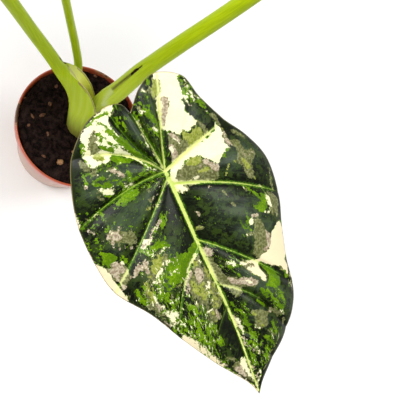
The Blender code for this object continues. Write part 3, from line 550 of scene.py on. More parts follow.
def add_node(tree, kind, inputs, **settings):
    """A new node with its settings, each input linked to a socket or given a value."""
    made = tree.nodes.new(kind)
    for name, value in settings.items():
        setattr(made, name, value)
    for place, value in inputs.items():
        feed(tree, made.inputs[place], value)
    return made


def feed(tree, socket, value):
    """Link a socket to another, or give it a value."""
    if isinstance(value, bpy.types.NodeSocket):
        tree.links.new(value, socket)
    else:
        socket.default_value = value


class Finish:
    """One material's node tree, with short calls for the nodes it is built from."""

    def __init__(self, name, roughness, coat=0.0, coat_roughness=0.1, specular=0.5):
        self.material = bpy.data.materials.new(name)
        self.material.use_nodes = True
        self.tree = self.material.node_tree
        self.set("Roughness", roughness)
        self.set("Coat Weight", coat)
        self.set("Coat Roughness", coat_roughness)
        self.set("Specular IOR Level", specular)
        place = self.node("TexCoord", {}, "Object")
        self.mm = self.node("VectorMath", {0: place, "Scale": 1 / MM}, operation="SCALE")

    def set(self, name, value):
        """Feed one of the shader's own inputs."""
        feed(self.tree, self.tree.nodes["Principled BSDF"].inputs[name], value)

    def node(self, kind, inputs, output=0, **settings):
        """One output of a new node."""
        return add_node(self.tree, "ShaderNode" + kind, inputs, **settings).outputs[output]

    def math(self, operation, a, b=0.0, c=0.0, clamp=False):
        """Arithmetic on numbers."""
        return self.node("Math", {0: a, 1: b, 2: c}, operation=operation, use_clamp=clamp)

    def vector(self, operation, a, b):
        """Arithmetic on vectors."""
        return self.node("VectorMath", {0: a, 1: b}, operation=operation)

    def attribute(self, name):
        """A number stored on the mesh's points."""
        return self.node("Attribute", {}, "Fac", attribute_name=name)

    def stretched(self, across, along):
        """The piece's own UV map, in millimetres across and along it, stretched."""
        return self.vector("MULTIPLY", self.node("UVMap", {}), (across, along, 1.0))

    def moved(self, place, seed):
        """A place moved far off, so that each seed gives another part of a pattern."""
        return self.vector("ADD", place, (SEED_STEP * seed,) * 3)

    def noise(self, scale, detail=2.0, roughness=0.5, seed=0, place=None):
        """Noise whose lumps are about 1 / scale millimetres across, from 0 to 1."""
        place = self.moved(place or self.mm, seed)
        return self.node("TexNoise", {"Vector": place, "Scale": scale, "Detail": detail,
                                      "Roughness": roughness}, "Fac")

    def cells(self, scale, seed):
        """Distance in a pattern of cells about 1 / scale millimetres across."""
        place = self.moved(self.mm, seed)
        return self.node("TexVoronoi", {"Vector": place, "Scale": scale}, "Distance")

    def wander(self, value, amount, wave):
        """A value moved by a 0 to 1 pattern, up to half the amount each way."""
        return self.math("MULTIPLY_ADD", self.math("SUBTRACT", wave, 0.5), amount, value)

    def step(self, value, low, high, out_low=0.0, out_high=1.0):
        """Smooth step from out_low at low to out_high at high."""
        return self.node("MapRange", {0: value, 1: low, 2: high, 3: out_low, 4: out_high},
                         interpolation_type="SMOOTHSTEP")

    def mix(self, factor, *shades):
        """Blend two shades, each a screen colour or a socket."""
        a, b = (colour(*shade) if isinstance(shade, tuple) else shade for shade in shades)
        return self.node("Mix", {0: factor, 6: a, 7: b}, 2, data_type="RGBA")

    def blend(self, value, low, high, a, b):
        """From shade a at low to shade b at high."""
        return self.mix(self.step(value, low, high), a, b)

    def layers(self, base, *rows):
        """Lay shades over a base: rows of value, low, high, how much at high, and the shade."""
        for value, low, high, amount, shade in rows:
            base = self.mix(self.step(value, low, high, 0.0, amount), base, shade)
        return base

    def done(self, base, grain, depth):
        """The material, with its colour and with a grain raised by a depth in millimetres."""
        self.set("Base Color", base)
        self.set("Normal", self.node("Bump", {"Strength": 1.0, "Distance": depth * MM,
                                              "Height": grain}))
        return self.material


def leaf_tissue(f):
    """How far inside green upper and green lower tissue a place lies, with ragged edges."""
    weave = f.stretched(1.0, 0.65)
    flecks = f.attribute("flecks")
    ragged = f.math("MULTIPLY_ADD", flecks, 4.0, 3.2)
    edges = []
    for name, seed in (("upper", 1), ("lower", 4)):
        edge = f.wander(f.attribute(name), 3.6, f.noise(0.16, 2.0, 0.5, seed))
        edges.append(f.wander(edge, ragged, f.noise(0.5, 4.0, 0.66, seed + 1)))
    upper, lower = edges
    is_green = f.step(upper, -0.3, 0.3)
    over = []
    for scale, low, gain, seed in FLECK_NOISES:
        threshold = f.math("MULTIPLY_ADD", flecks, gain, low)
        above = f.math("SUBTRACT", f.noise(scale, 4.0, 0.68, seed, weave), threshold)
        over.append(f.math("MAXIMUM", f.math("MULTIPLY", above, FLECK_GAIN), 0.0))
    bright, grey, cream, island = over
    lower = f.math("SUBTRACT", lower, f.math("MULTIPLY_ADD", bright, is_green, cream))
    upper = f.math("ADD", f.math("SUBTRACT", upper, f.math("ADD", grey, cream)), island)
    return upper, lower


def green_tissue(f, has_lower, fibres, cloud):
    """Tissue that is green on top: dark where it is green underneath too, bright elsewhere."""
    mottle = f.noise(1.3, 3.0, 0.6, 21)
    broken = f.noise(0.22, 4.0, 0.66, 23)
    # Painted sheen on the swellings between veins, and painted shade in the valleys by the veins, midrib
    # and margin, both following the crest height
    painted_sheen_and_shade = f.wander(f.attribute("crest"), 1.4, cloud)
    dark = f.layers(f.blend(broken, 0.49, 0.52, (4, 8, 0), (44, 60, 12)),
                    (fibres, 0.45, 0.7, 0.45, (62, 80, 42)),
                    (mottle, 0.58, 0.72, 0.5, (72, 98, 20)),
                    (painted_sheen_and_shade, 0.5, 1.2, 0.5, (84, 102, 78)),
                    (painted_sheen_and_shade, 0.6, 0.1, 0.85, (6, 12, 0)))
    bright = f.layers(f.blend(mottle, 0.4, 0.6, (86, 128, 0), (122, 158, 4)),
                      (f.noise(0.12, 3.0, 0.6, 22), 0.48, 0.54, 0.6, (72, 108, 0)))
    return f.mix(has_lower, bright, dark)


def pale_tissue(f, has_lower, cloud):
    """Tissue with no green on top: olive, grey or lilac over green, cream elsewhere."""
    soft = f.noise(0.7, 3.0, 0.55, 26)
    hue = f.wander(f.attribute("tint"), 2.6, f.noise(0.3, 4.0, 0.66, 24))
    hue = f.wander(hue, 1.6, f.noise(0.13, 2.0, 0.5, 25))
    olive = f.blend(soft, 0.42, 0.6, (132, 144, 46), (166, 172, 84))
    grey = f.blend(soft, 0.4, 0.62, (92, 96, 50), (134, 137, 90))
    lilac = f.blend(soft, 0.36, 0.64, (150, 132, 106), (206, 194, 164))
    greyish = f.layers(olive, (hue, -0.65, -0.45, 1.0, grey), (hue, 0.4, 0.6, 1.0, lilac))
    cream = f.blend(cloud, 0.4, 0.65, (250, 248, 204), (246, 240, 194))
    cream = f.mix(f.attribute("peach"), cream, (248, 234, 192))
    return f.mix(has_lower, cream, greyish)


def with_veins(f, tissue, has_upper):
    """Tissue with its pale veins drawn in, and a faint border along each."""
    vein, tone = f.attribute("vein"), f.attribute("vein_tone")
    ragged = f.wander(vein, 3.4, f.noise(0.6, 3.0, 0.65, 30))
    border = f.mix(has_upper, (232, 236, 160), (76, 120, 16))
    beside = f.math("MULTIPLY", f.step(ragged, 1.3, -0.1, 0.0, 0.85), f.step(tone, 0.0, 0.5))
    tissue = f.mix(beside, tissue, border)
    line = f.layers(f.mix(f.attribute("vein_cream"), (172, 204, 62), (244, 246, 156)),
                    (f.noise(0.2, 2.0, 0.5, 31), 0.35, 0.65, 0.35, (164, 194, 54)))
    wavering = f.wander(vein, 1.1, f.noise(0.8, 3.0, 0.6, 32))
    strength = f.math("MULTIPLY", f.step(wavering, 0.16, -0.16), tone, clamp=True)
    return f.mix(strength, tissue, line)


def leaf_upper_finish():
    """The glossy upper face: two layers of green tissue, pale veins, a fine margin."""
    f = Finish("leaf_upper", 0.4, coat=0.28, coat_roughness=0.3, specular=0.03)
    has_upper, has_lower = (f.step(edge, -0.16, 0.16) for edge in leaf_tissue(f))
    fibres = f.noise(0.8, 3.0, 0.6, 19, f.stretched(2.2, 0.22))
    cloud = f.noise(0.06, 3.0, 0.55, 20)
    tissue = f.mix(has_upper, pale_tissue(f, has_lower, cloud),
                   green_tissue(f, has_lower, fibres, cloud))
    tissue = with_veins(f, tissue, has_upper)
    margin = f.attribute("margin")
    shaded = f.math("MULTIPLY", f.step(margin, 2.4, 0.9), has_lower)
    tissue = f.mix(shaded, tissue, (30, 40, 12))
    rim = f.mix(has_upper, (214, 196, 150), (120, 112, 66))
    grain = f.math("MULTIPLY_ADD", f.noise(1.4, 3.0, 0.6, 33), 0.5, f.cells(0.55, 34))
    grain = f.math("MULTIPLY_ADD", fibres, 2.0, grain)
    return f.done(f.layers(tissue, (margin, 0.6, 0.3, 1.0, rim)), grain, 0.12)


def leaf_under_finish():
    """The matt underside: paler, with the same pattern showing through."""
    f = Finish("leaf_under", 0.55, specular=0.25)
    has_upper, has_lower = (f.step(edge, -0.3, 0.3) for edge in leaf_tissue(f))
    green = f.mix(f.noise(0.3, 2.0, 0.5, 40), (86, 112, 74), (110, 134, 88))
    pale = f.mix(f.noise(0.5, 2.0, 0.5, 41), (226, 228, 170), (238, 236, 196))
    tissue = f.mix(has_lower, f.mix(has_upper, pale, (132, 156, 84)),
                   f.mix(has_upper, (138, 146, 112), green))
    tissue = f.layers(tissue, (f.attribute("vein"), 0.5, -0.2, 0.9, (196, 210, 132)))
    return f.done(tissue, f.cells(0.5, 42), 0.12)


def petiole_finish():
    """Smooth lime green stem skin, paler at the base, with cream and brown sheath margins."""
    f = Finish("petiole_skin", 0.4, coat=0.08, coat_roughness=0.22, specular=0.1)
    along = f.stretched(1.0, 0.06)
    streaks = f.noise(0.9, 3.0, 0.55, 50, along)
    height = f.attribute("height")
    shaded = f.wander(height, -22.0, streaks)
    bands = f.step(f.noise(0.2, 2.0, 0.5, 54, along), 0.36, 0.68, 0.0, 0.25)
    banded = f.math("MULTIPLY", f.step(height, 110.0, 40.0), bands)
    skin = f.layers(f.blend(streaks, 0.36, 0.64, (160, 182, 0), (178, 199, 4)),
                    (f.noise(0.05, 2.0, 0.5, 51), 0.4, 0.7, 0.4, (174, 196, 20)),
                    (height, 110.0, 40.0, 0.8, (190, 208, 52)))
    skin = f.layers(f.mix(banded, skin, (218, 230, 122)),
                    (shaded, 40.0, 24.0, 0.8, (160, 172, 66)),
                    (shaded, 26.0, 14.0, 0.7, (124, 112, 50)))
    # Painted light: the channel's inner wall is brightened, most towards the bottom, to offset the shade
    # inside it
    painted_light_lining = f.blend(height, 84.0, 58.0, (208, 214, 92), (255, 255, 128))
    skin = f.mix(f.attribute("inside"), skin, painted_light_lining)
    wave = f.noise(0.5, 3.0, 0.6, 53)
    lip, pale, shade, ridge, dark = (
        f.wander(f.attribute(name), amount, wave)
        for name, amount in (("lip", 0.8), ("pale", 2.4), ("shade", 1.2), ("ridge", 0.5),
                             ("dark", 1.6)))
    skin = f.layers(skin, (f.noise(0.9, 2.0, 0.6, 52), 0.68, 0.74, 0.4, (122, 138, 20)),
                    (lip, 1.6, 0.9, 0.7, (140, 104, 78)), (lip, 0.75, 0.4, 0.85, (226, 218, 160)),
                    (pale, -2.2, 1.6, 0.75, (206, 216, 150)),
                    (shade, -1.6, 0.9, 0.85, (98, 92, 44)),
                    (ridge, -0.5, 0.3, 0.6, (140, 100, 76)),
                    (ridge, 0.45, 0.75, 0.85, (226, 220, 158)),
                    (dark, -0.5, 0.3, 1.0, (38, 20, 18)))
    return f.done(skin, streaks, 0.06)


def pot_finish():
    """Smooth terracotta-coloured plastic, with a painted pale reflection towards the foot, dull where mix
    is smeared.
    """
    f = Finish("terracotta_gloss", 0.3, coat_roughness=0.12, specular=0.4)
    cloud = f.noise(0.03, 3.0, 0.55, 60)
    fine = f.noise(0.8, 3.0, 0.6, 61)
    # Painted reflection: the wall turns a paler beige towards the foot, standing in for the white
    # surroundings seen in its gloss
    painted_reflection = f.wander(f.node("SeparateXYZ", {0: f.mm}, "Z"), 40.0, cloud)
    smear = f.wander(f.attribute("smear"), 6.0, f.noise(0.4, 4.0, 0.65, 62))
    base = f.layers(f.blend(cloud, 0.35, 0.65, (178, 74, 48), (190, 88, 60)),
                    (fine, 0.55, 0.8, 0.25, (196, 120, 92)),
                    (painted_reflection, 84.0, 20.0, 0.55, (186, 156, 112)),
                    (smear, -2.6, -0.4, 0.6, (176, 142, 104)),
                    (smear, -0.6, 0.5, 0.9, (74, 50, 36)))
    f.set("Coat Weight", f.step(smear, -0.6, 0.5, POT_COAT, 0.0))
    return f.done(base, fine, 0.05)


def mix_finish():
    """Dark damp peat with browner crumbs."""
    f = Finish("peat", 0.85, specular=0.08)
    grains = f.noise(1.2, 3.0, 0.6, 71)
    base = f.layers(f.blend(f.noise(0.28, 4.0, 0.65, 70), 0.4, 0.62, (10, 6, 6), (42, 27, 23)),
                    (f.noise(0.11, 4.0, 0.7, 72), 0.46, 0.66, 0.6, (54, 40, 36)),
                    (grains, 0.6, 0.72, 0.45, (66, 42, 30)))
    return f.done(base, grains, 0.6)


def chip_finish(name, low, high, seed):
    """Bark or grit with a fine grain."""
    f = Finish(name, 0.75, specular=0.3)
    grain = f.noise(0.9, 4.0, 0.65, seed)
    return f.done(f.blend(grain, 0.35, 0.65, low, high), grain, 0.4)


def rhizome_finish():
    """Corky brown skin."""
    f = Finish("rhizome_cork", 0.8, specular=0.3)
    grain = f.noise(0.6, 4.0, 0.65, 80)
    return f.done(f.mix(grain, (84, 60, 38), (160, 128, 84)), grain, 0.6)


def floor_finish():
    """A plain white floor."""
    f = Finish("pale_floor", 0.6, specular=0.2)
    f.set("Base Color", colour(255, 255, 255))
    return f.material


# Meshes

def place_in_scene(name, data):
    """A new object in the scene, at the origin."""
    made = bpy.data.objects.new(name, data)
    bpy.context.scene.collection.objects.link(made)
    return made


def add_piece(name, mesh, *finishes):
    """Put a mesh into the scene as a smooth-shaded piece."""
    mesh.shade_smooth()
    for finish in finishes:
        mesh.materials.append(finish)
    return place_in_scene(name, mesh)


def mesh_of(name, bm):
    """A mesh in metres from a bmesh in millimetres, which is used up."""
    bmesh.ops.scale(bm, vec=(MM, MM, MM), verts=bm.verts)
    mesh = bpy.data.meshes.new(name)
    bm.to_mesh(mesh)
    bm.free()
    return mesh


def set_numbers(mesh, **columns):
    """Store numbers for each of the mesh's points, under their names."""
    for name, values in columns.items():
        layer = mesh.attributes.new(name, "FLOAT", "POINT")
        layer.data.foreach_set("value", np.asarray(values, dtype=np.float32))


def bake(piece):
    """Turn a piece and its modifiers into plain mesh."""
    bpy.context.view_layer.update()
    depsgraph = bpy.context.evaluated_depsgraph_get()
    mesh = bpy.data.meshes.new_from_object(piece.evaluated_get(depsgraph),
                                           preserve_all_data_layers=True, depsgraph=depsgraph)
    old = piece.data
    piece.modifiers.clear()
    piece.data = mesh
    mesh.name = piece.name
    bpy.data.meshes.remove(old)


def hand_in(piece, slot, *nodes):
    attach(piece, "root")
    if nodes:
        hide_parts(*nodes)


# Places in the photograph

def node_surface(name):
    """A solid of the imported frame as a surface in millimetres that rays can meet."""
    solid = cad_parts[name]
    points = [solid.matrix_world @ vert.co / MM for vert in solid.data.vertices]
    return BVHTree.FromPolygons(points, [face.vertices[:] for face in solid.data.polygons])


def seen_places(surface, pixels, plane=None):
    """Where pixels of the photograph fall on a surface, or on a plane where they miss it."""
    eye = Vector(CAMERA_AT) / MM
    places = []
    for pixel in pixels:
        right, down = ((place - PHOTO_WIDTH / 2) / FOCAL_PIXELS for place in pixel)
        ray = Vector(CAMERA_X) * right - Vector(CAMERA_Y) * down - Vector(CAMERA_Z)
        place = surface.ray_cast(eye, ray)[0]
        if place is None:
            place = intersect_line_plane(eye, eye + ray, *plane)
        places.append(place)
    return places


# Strokes and outlines

def stroke_distance(places, points):
    """Distance from each place to a line through a stroke's points."""
    nearest = np.full(len(places), np.inf)
    for a, b in zip(points, points[1:]):
        a, b = np.array(a), np.array(b)
        run = b - a
        share = np.clip((places - a) @ run / max(run @ run, 1e-6), 0.0, 1.0)
        gap = np.linalg.norm(places - a - share[:, None] * run, axis=1)
        nearest = np.minimum(nearest, gap)
    return nearest


def outline_distance(plan, points):
    """Distance from each plan point to a closed outline, positive inside it."""
    closed = [*points, points[0]]
    inside = np.zeros(len(plan), dtype=bool)
    for (ax, ay), (bx, by) in zip(closed, closed[1:]):
        if ay != by:
            crossing = ax + (plan[:, 1] - ay) * (bx - ax) / (by - ay)
            inside ^= ((plan[:, 1] < ay) != (plan[:, 1] < by)) & (plan[:, 0] < crossing)
    return np.where(inside, 1.0, -1.0) * stroke_distance(plan, closed)


def mark_depths(places, strokes):
    """How far inside the nearest of some strokes each place lies, less than nothing outside."""
    depths = np.full(len(places), -MARK_REACH)
    for radius, *line in strokes:
        depths = np.maximum(depths, radius - stroke_distance(places, line))
    return depths


# Leaf blades

def vein_number(veins, station):
    """The vein number whose foot lies at a place along the midrib."""
    for (n0, v0, _), (n1, v1, _) in zip(veins, veins[1:]):
        if v1 > v0 and station <= v1:
            return n0 + (n1 - n0) * (station - v0) / (v1 - v0)
    return veins[-1][0]


def midrib_stations(step):
    """Feet of the spokes up the midrib: crowded near the petiole, with every vein's own foot."""
    crowded = [FAN_FOOT + CROWDED_RUN * (i + 1) / CROWDED_COUNT for i in range(CROWDED_COUNT)]
    run = LEAF_TIP - crowded[-1]
    count = round(run / step)
    stations = crowded + [crowded[-1] + run * (i + 1) / count for i in range(count)]
    for _, foot, _ in BROAD_VEINS + NARROW_VEINS:
        if FAN_FOOT < foot < LEAF_TIP:
            nearest = min(range(len(stations)), key=lambda i: abs(stations[i] - foot))
            stations[nearest] = foot
    return stations


def spoke_numbers(veins, step):
    """Vein numbers of the blade's spokes: a fan round the petiole, then up the midrib."""
    last = max(n for n, foot, _ in veins if foot == FAN_FOOT)
    per_vein = round(FAN_WIDTH / step)
    fan = [i / per_vein for i in range(int(last) * per_vein + 1)]
    return fan + [vein_number(veins, station) for station in midrib_stations(step)]


def spoke_points(half, number, reach):
    """Plan positions along one spoke, for an array of shares of the way to the margin."""
    margin, veins, _, side = half
    foot, bow = straight_row(veins, number)
    start = smooth_row(MIDRIB, foot)[0]
    end_x, end_y = smooth_row(margin, number)
    dx, dy = end_x - start, end_y - foot
    length = math.hypot(dx, dy)
    shift = 4 * reach * (1 - reach) * bow * min(1.0, length / NARROW_SPAN) / max(length, 0.01)
    return start + dx * reach + side * dy * shift, foot + dy * reach - side * dx * shift, length


def leaf_crest(number, reach, length):
    """How near the top of the swelling between two veins, from 0 to 1."""
    swell = np.sin(0.85 * math.pi * reach ** 0.9)
    return abs(math.sin(math.pi * number)) ** 0.75 * swell * min(1.0, length / BULGE_SPAN)


def leaf_height(x, y, number, reach, length):
    """Height of the upper face: drooping tip and sides, veins in valleys, rolled margin."""
    narrow = min(1.0, length / NARROW_SPAN)
    droop = -LEAF_DROOP * (np.maximum(y, 0.0) / LEAF_TIP) ** 2
    lobes = LEAF_LOBE_LIFT * (np.minimum(y, 0.0) / LEAF_SEAM) ** 2
    sides = -LEAF_SIDE_DROOP * (abs(x) / LEAF_HALF_WIDTH) ** SIDE_DROOP_POWER
    aside = abs(x - np.array([smooth_row(MIDRIB, place)[0] for place in y]))
    keel = LEAF_KEEL * (1 - np.exp(-aside / KEEL_WIDTH)) * narrow
    bulge = LEAF_BULGE * leaf_crest(number, reach, length)
    roll = -MARGIN_ROLL * reach ** ROLL_POWER * narrow
    calm = np.clip((reach * length - CALM_MIDDLE) / CALM_RUN, 0.0, 1.0)
    wave = np.sin(2 * math.pi * RIPPLES_PER_VEIN * number + RIPPLE_SLANT * reach)
    ripple = FINE_RIPPLE * calm * min(1.0, length / BULGE_SPAN) * wave * (1 - reach ** 4)
    return droop + lobes + sides + keel + bulge + roll + ripple


def leaf_grid(leaf):
    """A blade's points and faces: x, y, z, margin distance, place in the weave, crest."""
    reach = np.linspace(0.0, 1.0, leaf["rings"] + 1) ** RING_CROWDING
    width = len(reach)
    points, faces = [], []
    for half in HALVES:
        _, veins, _, side = half
        base = width * len(points)
        for number in spoke_numbers(veins, leaf["step"]):
            x, y, length = spoke_points(half, number, reach)
            z = leaf_height(x, y, number, reach, length)
            across = np.full(width, side * number * WEAVE_SPACING)
            crest = leaf_crest(number, reach, length)
            points.append(np.column_stack((x, y, z, (1 - reach) * length, across, reach * length,
                                           crest)))
        for low in range(base, width * (len(points) - 1)):
            if (low - base) % width < width - 1:
                faces.append((low, low + 1, low + width + 1, low + width))
    return np.vstack(points), faces


def vein_lines():
    """Points along every vein: x, y, half width of the pale line, how pale, and how cream."""
    rows = []
    reach = np.linspace(0.0, 1.0, 200)
    for half in HALVES:
        for number, width, pale, stop, cream in half[2]:
            x, y, _ = spoke_points(half, float(number), reach)
            tone = pale * (1 - 0.4 * reach) * np.clip((stop - reach) / VEIN_FADE, 0.0, 1.0)
            rows.append(np.column_stack((x, y, width * (1 - VEIN_TAPER * reach), tone,
                                         cream + 0 * reach)))
    share = np.linspace(0.0, 1.0, 400)
    for stop, width, tone in MIDRIB_LINES:
        along = np.linspace(FAN_FOOT, stop, len(share))
        x = np.array([smooth_row(MIDRIB, place)[0] for place in along])
        rows.append(np.column_stack((x, along, width * (1 - VEIN_TAPER * share), tone + 0 * x,
                                     0.5 + 0.4 * share)))
    return np.vstack(rows)


def near_veins(plan):
    """Distance past the nearest vein's edge, and how pale and cream that vein is."""
    veins = vein_lines()
    tree = KDTree(len(veins))
    for i, row in enumerate(veins):
        tree.insert((row[0], row[1], 0.0), i)
    tree.balance()
    found = [tree.find((x, y, 0.0)) for x, y in plan]
    nearest = veins[[i for _, i, _ in found]]
    return np.array([gap for _, _, gap in found]) - nearest[:, 2], nearest[:, 3], nearest[:, 4]


def painted(plan, patches):
    """Edges of the green upper and lower tissue, tint and peach after all the strokes."""
    green = [np.full(len(plan), PATCH_REACH) for _ in range(2)]
    tint, peach = np.zeros(len(plan)), np.zeros(len(plan))
    for kind, radius, *points in patches:
        if radius:
            inside = radius - stroke_distance(plan, points)
        else:
            inside = outline_distance(plan, points)
        inside = np.clip(inside, -PATCH_REACH, PATCH_REACH)
        *keeps, hue = KINDS[kind]
        for layer, kept in enumerate(keeps):
            green[layer] = (np.maximum(green[layer], inside) if kept > 0
                            else np.minimum(green[layer], -inside))
        cover = np.clip(inside / PATCH_EDGE + 0.8, 0.0, 1.0)
        if keeps == [-1, 1]:
            tint += (hue - tint) * cover
        if keeps == [-1, -1]:
            peach += (hue - peach) * cover
    return *green, tint, peach


def flecked(plan, strokes):
    """How densely each plan point is flecked, from 0 to 1."""
    dense = np.full(len(plan), PLAIN_FLECKS)
    for share, radius, *points in strokes:
        inside = np.clip(1.0 + (radius - stroke_distance(plan, points)) / FLECK_FADE, 0.0, 1.0)
        dense = np.maximum(dense, share * inside)
    return dense


def random_flecks(seed):
    """Flecked stretches for a leaf that the photograph doesn't show."""
    draw = np.random.default_rng(seed + 50)
    strokes = []
    for _ in range(RANDOM_FLECKS):
        start = draw.uniform((-50, -40), (50, 130))
        end = start + draw.normal(0.0, 14.0, 2)
        strokes.append((draw.uniform(0.4, 1.0), draw.uniform(4.0, 12.0), tuple(start), tuple(end)))
    return strokes


def random_patches(seed, size):
    """Ragged outlines for a leaf that the photograph doesn't show, lying along its veins."""
    draw = np.random.default_rng(seed)
    around = np.linspace(0.0, 2 * math.pi, 11, endpoint=False)
    patches = []
    for _ in range(RANDOM_PATCHES):
        half = HALVES[draw.integers(2)]
        start = draw.uniform(0.1, 0.95)
        x, y, _ = spoke_points(half, draw.uniform(0.3, 6.7), np.array([start, start + 0.05]))
        along = np.array([x[1] - x[0], y[1] - y[0]])
        along /= max(np.hypot(*along), 0.01)
        long = draw.choice([3.0, 5.0, 9.0, 14.0], p=[0.3, 0.3, 0.25, 0.15]) / size
        wide = long * draw.uniform(0.25, 0.6)
        swing = draw.uniform(0.5, 1.3, len(around))
        ahead, aside = long * swing * np.cos(around), wide * swing * np.sin(around)
        outline = [(float(x[0] + along[0] * a - along[1] * b),
                    float(y[0] + along[1] * a + along[0] * b)) for a, b in zip(ahead, aside)]
        patches.append((RANDOM_KINDS[draw.integers(len(RANDOM_KINDS))], 0, *outline))
    return patches


def leaf_frame(leaf):
    """Origin and axes of a blade: across, towards the tip, out of its upper face."""
    tip = Vector(leaf["tip"]).normalized()
    face = Vector(leaf["face"])
    face = (face - face.dot(tip) * tip).normalized()
    return Vector(leaf["at"]), tip.cross(face), tip, face


def on_plan(name, leaf, strokes):
    """Strokes over the photograph, in millimetres on the leaf plan."""
    at, across, tip, face = leaf_frame(leaf)
    surface, plane = node_surface("blade_" + name), (at - BESIDE_LEAF * face, face)
    pixel_size = (at - Vector(CAMERA_AT) / MM).length / FOCAL_PIXELS
    laid = []
    for kind, radius, *pixels in strokes:
        places = [place - at for place in seen_places(surface, pixels, plane)]
        points = ((place.dot(across), place.dot(tip)) for place in places)
        laid.append((kind, radius * pixel_size, *points))
    return laid


def blade_mesh(name, leaf):
    """A blade's upper face: a fine grid along its veins, with its pattern on its points."""
    grid, faces = leaf_grid(leaf)
    plan, to_margin, weave, crest = grid[:, :2], grid[:, 3], grid[:, 4:6], grid[:, 6]
    past, vein_tone, vein_cream = near_veins(plan)
    groove = VEIN_GROOVE * np.exp(-(np.maximum(past, 0.0) / VEIN_GROOVE_WIDTH) ** 2)
    grid[:, 2] -= groove * np.clip(to_margin / GROOVE_FADE, 0.0, 1.0)
    size = leaf["size"]
    at, *axes = leaf_frame(leaf)
    local = grid[:, :3] * (-size if leaf["mirrored"] else size, size, size)
    if leaf["mirrored"]:
        faces = [corners[::-1] for corners in faces]
    mesh = bpy.data.meshes.new("blade_" + name)
    mesh.from_pydata(((local @ np.array(axes) + np.array(at)) * MM).tolist(), [], faces)
    if name == "front":
        patches, flecks = (on_plan(name, leaf, rows) for rows in (FRONT_PATCHES, FRONT_FLECKS))
    else:
        patches, flecks = random_patches(leaf["seed"], size), random_flecks(leaf["seed"])
    upper, lower, tint, peach = painted(plan, patches)
    set_numbers(mesh, upper=upper, lower=lower, tint=tint, peach=peach, vein=past * size,
                vein_tone=vein_tone, vein_cream=vein_cream, margin=to_margin * size,
                flecks=flecked(plan, flecks), crest=crest)
    corners = np.empty(len(mesh.loops), dtype=np.int32)
    mesh.loops.foreach_get("vertex_index", corners)
    layer = mesh.uv_layers.new(name="UVMap")
    layer.data.foreach_set("uv", weave[corners].astype(np.float32).ravel())
    return mesh


def face_up(mesh, up):
    """Merge a blade's doubled points, and turn its faces to its upper side."""
    bm = bmesh.new()
    bm.from_mesh(mesh)
    bmesh.ops.remove_doubles(bm, verts=bm.verts, dist=0.05 * MM)
    bmesh.ops.dissolve_degenerate(bm, edges=bm.edges, dist=0.01 * MM)
    bmesh.ops.recalc_face_normals(bm, faces=bm.faces)
    if sum(face.normal.dot(up) * face.calc_area() for face in bm.faces) < 0:
        bmesh.ops.reverse_faces(bm, faces=bm.faces)
    bm.to_mesh(mesh)
    bm.free()


def build_blade(name, leaf, finishes):
    """One blade, with a wall under its upper face."""
    mesh = blade_mesh(name, leaf)
    face_up(mesh, leaf_frame(leaf)[3])
    blade = add_piece("leaf_" + name, mesh, *finishes)
    wall = blade.modifiers.new("thickness", "SOLIDIFY")
    wall.thickness = LEAF_THICKNESS * MM
    wall.offset = -1.0
    wall.material_offset = 1
    wall.material_offset_rim = 0
    bake(blade)
    hand_in(blade, "variegated_leaf", "blade_" + name)


# Petioles

def path_rows(points):
    """Rows of length so far, x, y and z along a line of points."""
    rows = [(0.0, *points[0])]
    for a, b in zip(points, points[1:]):
        rows.append((rows[-1][0] + (Vector(b) - Vector(a)).length, *b))
    return rows


def channel_arc(half_width, depth):
    """Points inside a round channel's arc from one lip to the other: across, and how deep."""
    swing = 2 * math.atan2(depth, half_width)
    if abs(swing) < 0.01:
        swing = 0.01
    radius = half_width / math.sin(swing)
    angles = [swing * (2 * i / (CHANNEL_SIDES + 1) - 1) for i in range(1, CHANNEL_SIDES + 1)]
    return [(radius * math.sin(angle), radius * (math.cos(angle) - math.cos(swing)))
            for angle in angles]


def section(centre, along, opening, row):
    """One cross-section, the outer arc and then the channel, with the channel's depth."""
    stem, sheath, half_angle, solid = row
    toward = (opening - opening.dot(along) * along).normalized()
    across = along.cross(toward)
    middle = centre + toward * (sheath - stem)
    half = math.radians(half_angle)
    ring = []
    for i in range(PETIOLE_SIDES):
        angle = half + (2 * math.pi - 2 * half) * i / (PETIOLE_SIDES - 1)
        ring.append(middle + sheath * (math.cos(angle) * toward + math.sin(angle) * across))
    chord = middle + toward * sheath * math.cos(half)
    depth = sheath * (1 + math.cos(half)) - 2 * sheath * solid
    for reach, deep in channel_arc(sheath * math.sin(half), depth):
        ring.append(chord + across * reach - toward * deep)
    return ring, depth


def section_places(length, sheath_end):
    """Distances up a petiole for its sections: close along the sheath, then wider."""
    low = round(sheath_end / SHEATH_SPACING)
    high = round((length - sheath_end) / STEM_SPACING)
    places = [sheath_end * k / low for k in range(low)]
    return places + [sheath_end + (length - sheath_end) * k / high for k in range(high + 1)]


def petiole_sections(petiole, leaf):
    """Each section up a petiole: how high it lies, its ring of points, its channel's depth."""
    at, _, _, face = leaf_frame(leaf)
    end = at - face * (LEAF_THICKNESS + BLADE_STANDOFF)
    rows = path_rows(petiole["path"] + [tuple(end - face * STRAIGHT_END), tuple(end)])
    length = rows[-1][0]
    opening = Vector(petiole["opening"])
    for s in section_places(length, petiole["rows"][-3][0]):
        along = (Vector(smooth_row(rows, s + 1.0)) - Vector(smooth_row(rows, s - 1.0))).normalized()
        if s == 0:
            along = Vector((0, 0, 1))
        elif s == length:
            along = face
        yield s, *section(Vector(smooth_row(rows, s)), along, opening,
                          straight_row(petiole["rows"], s))


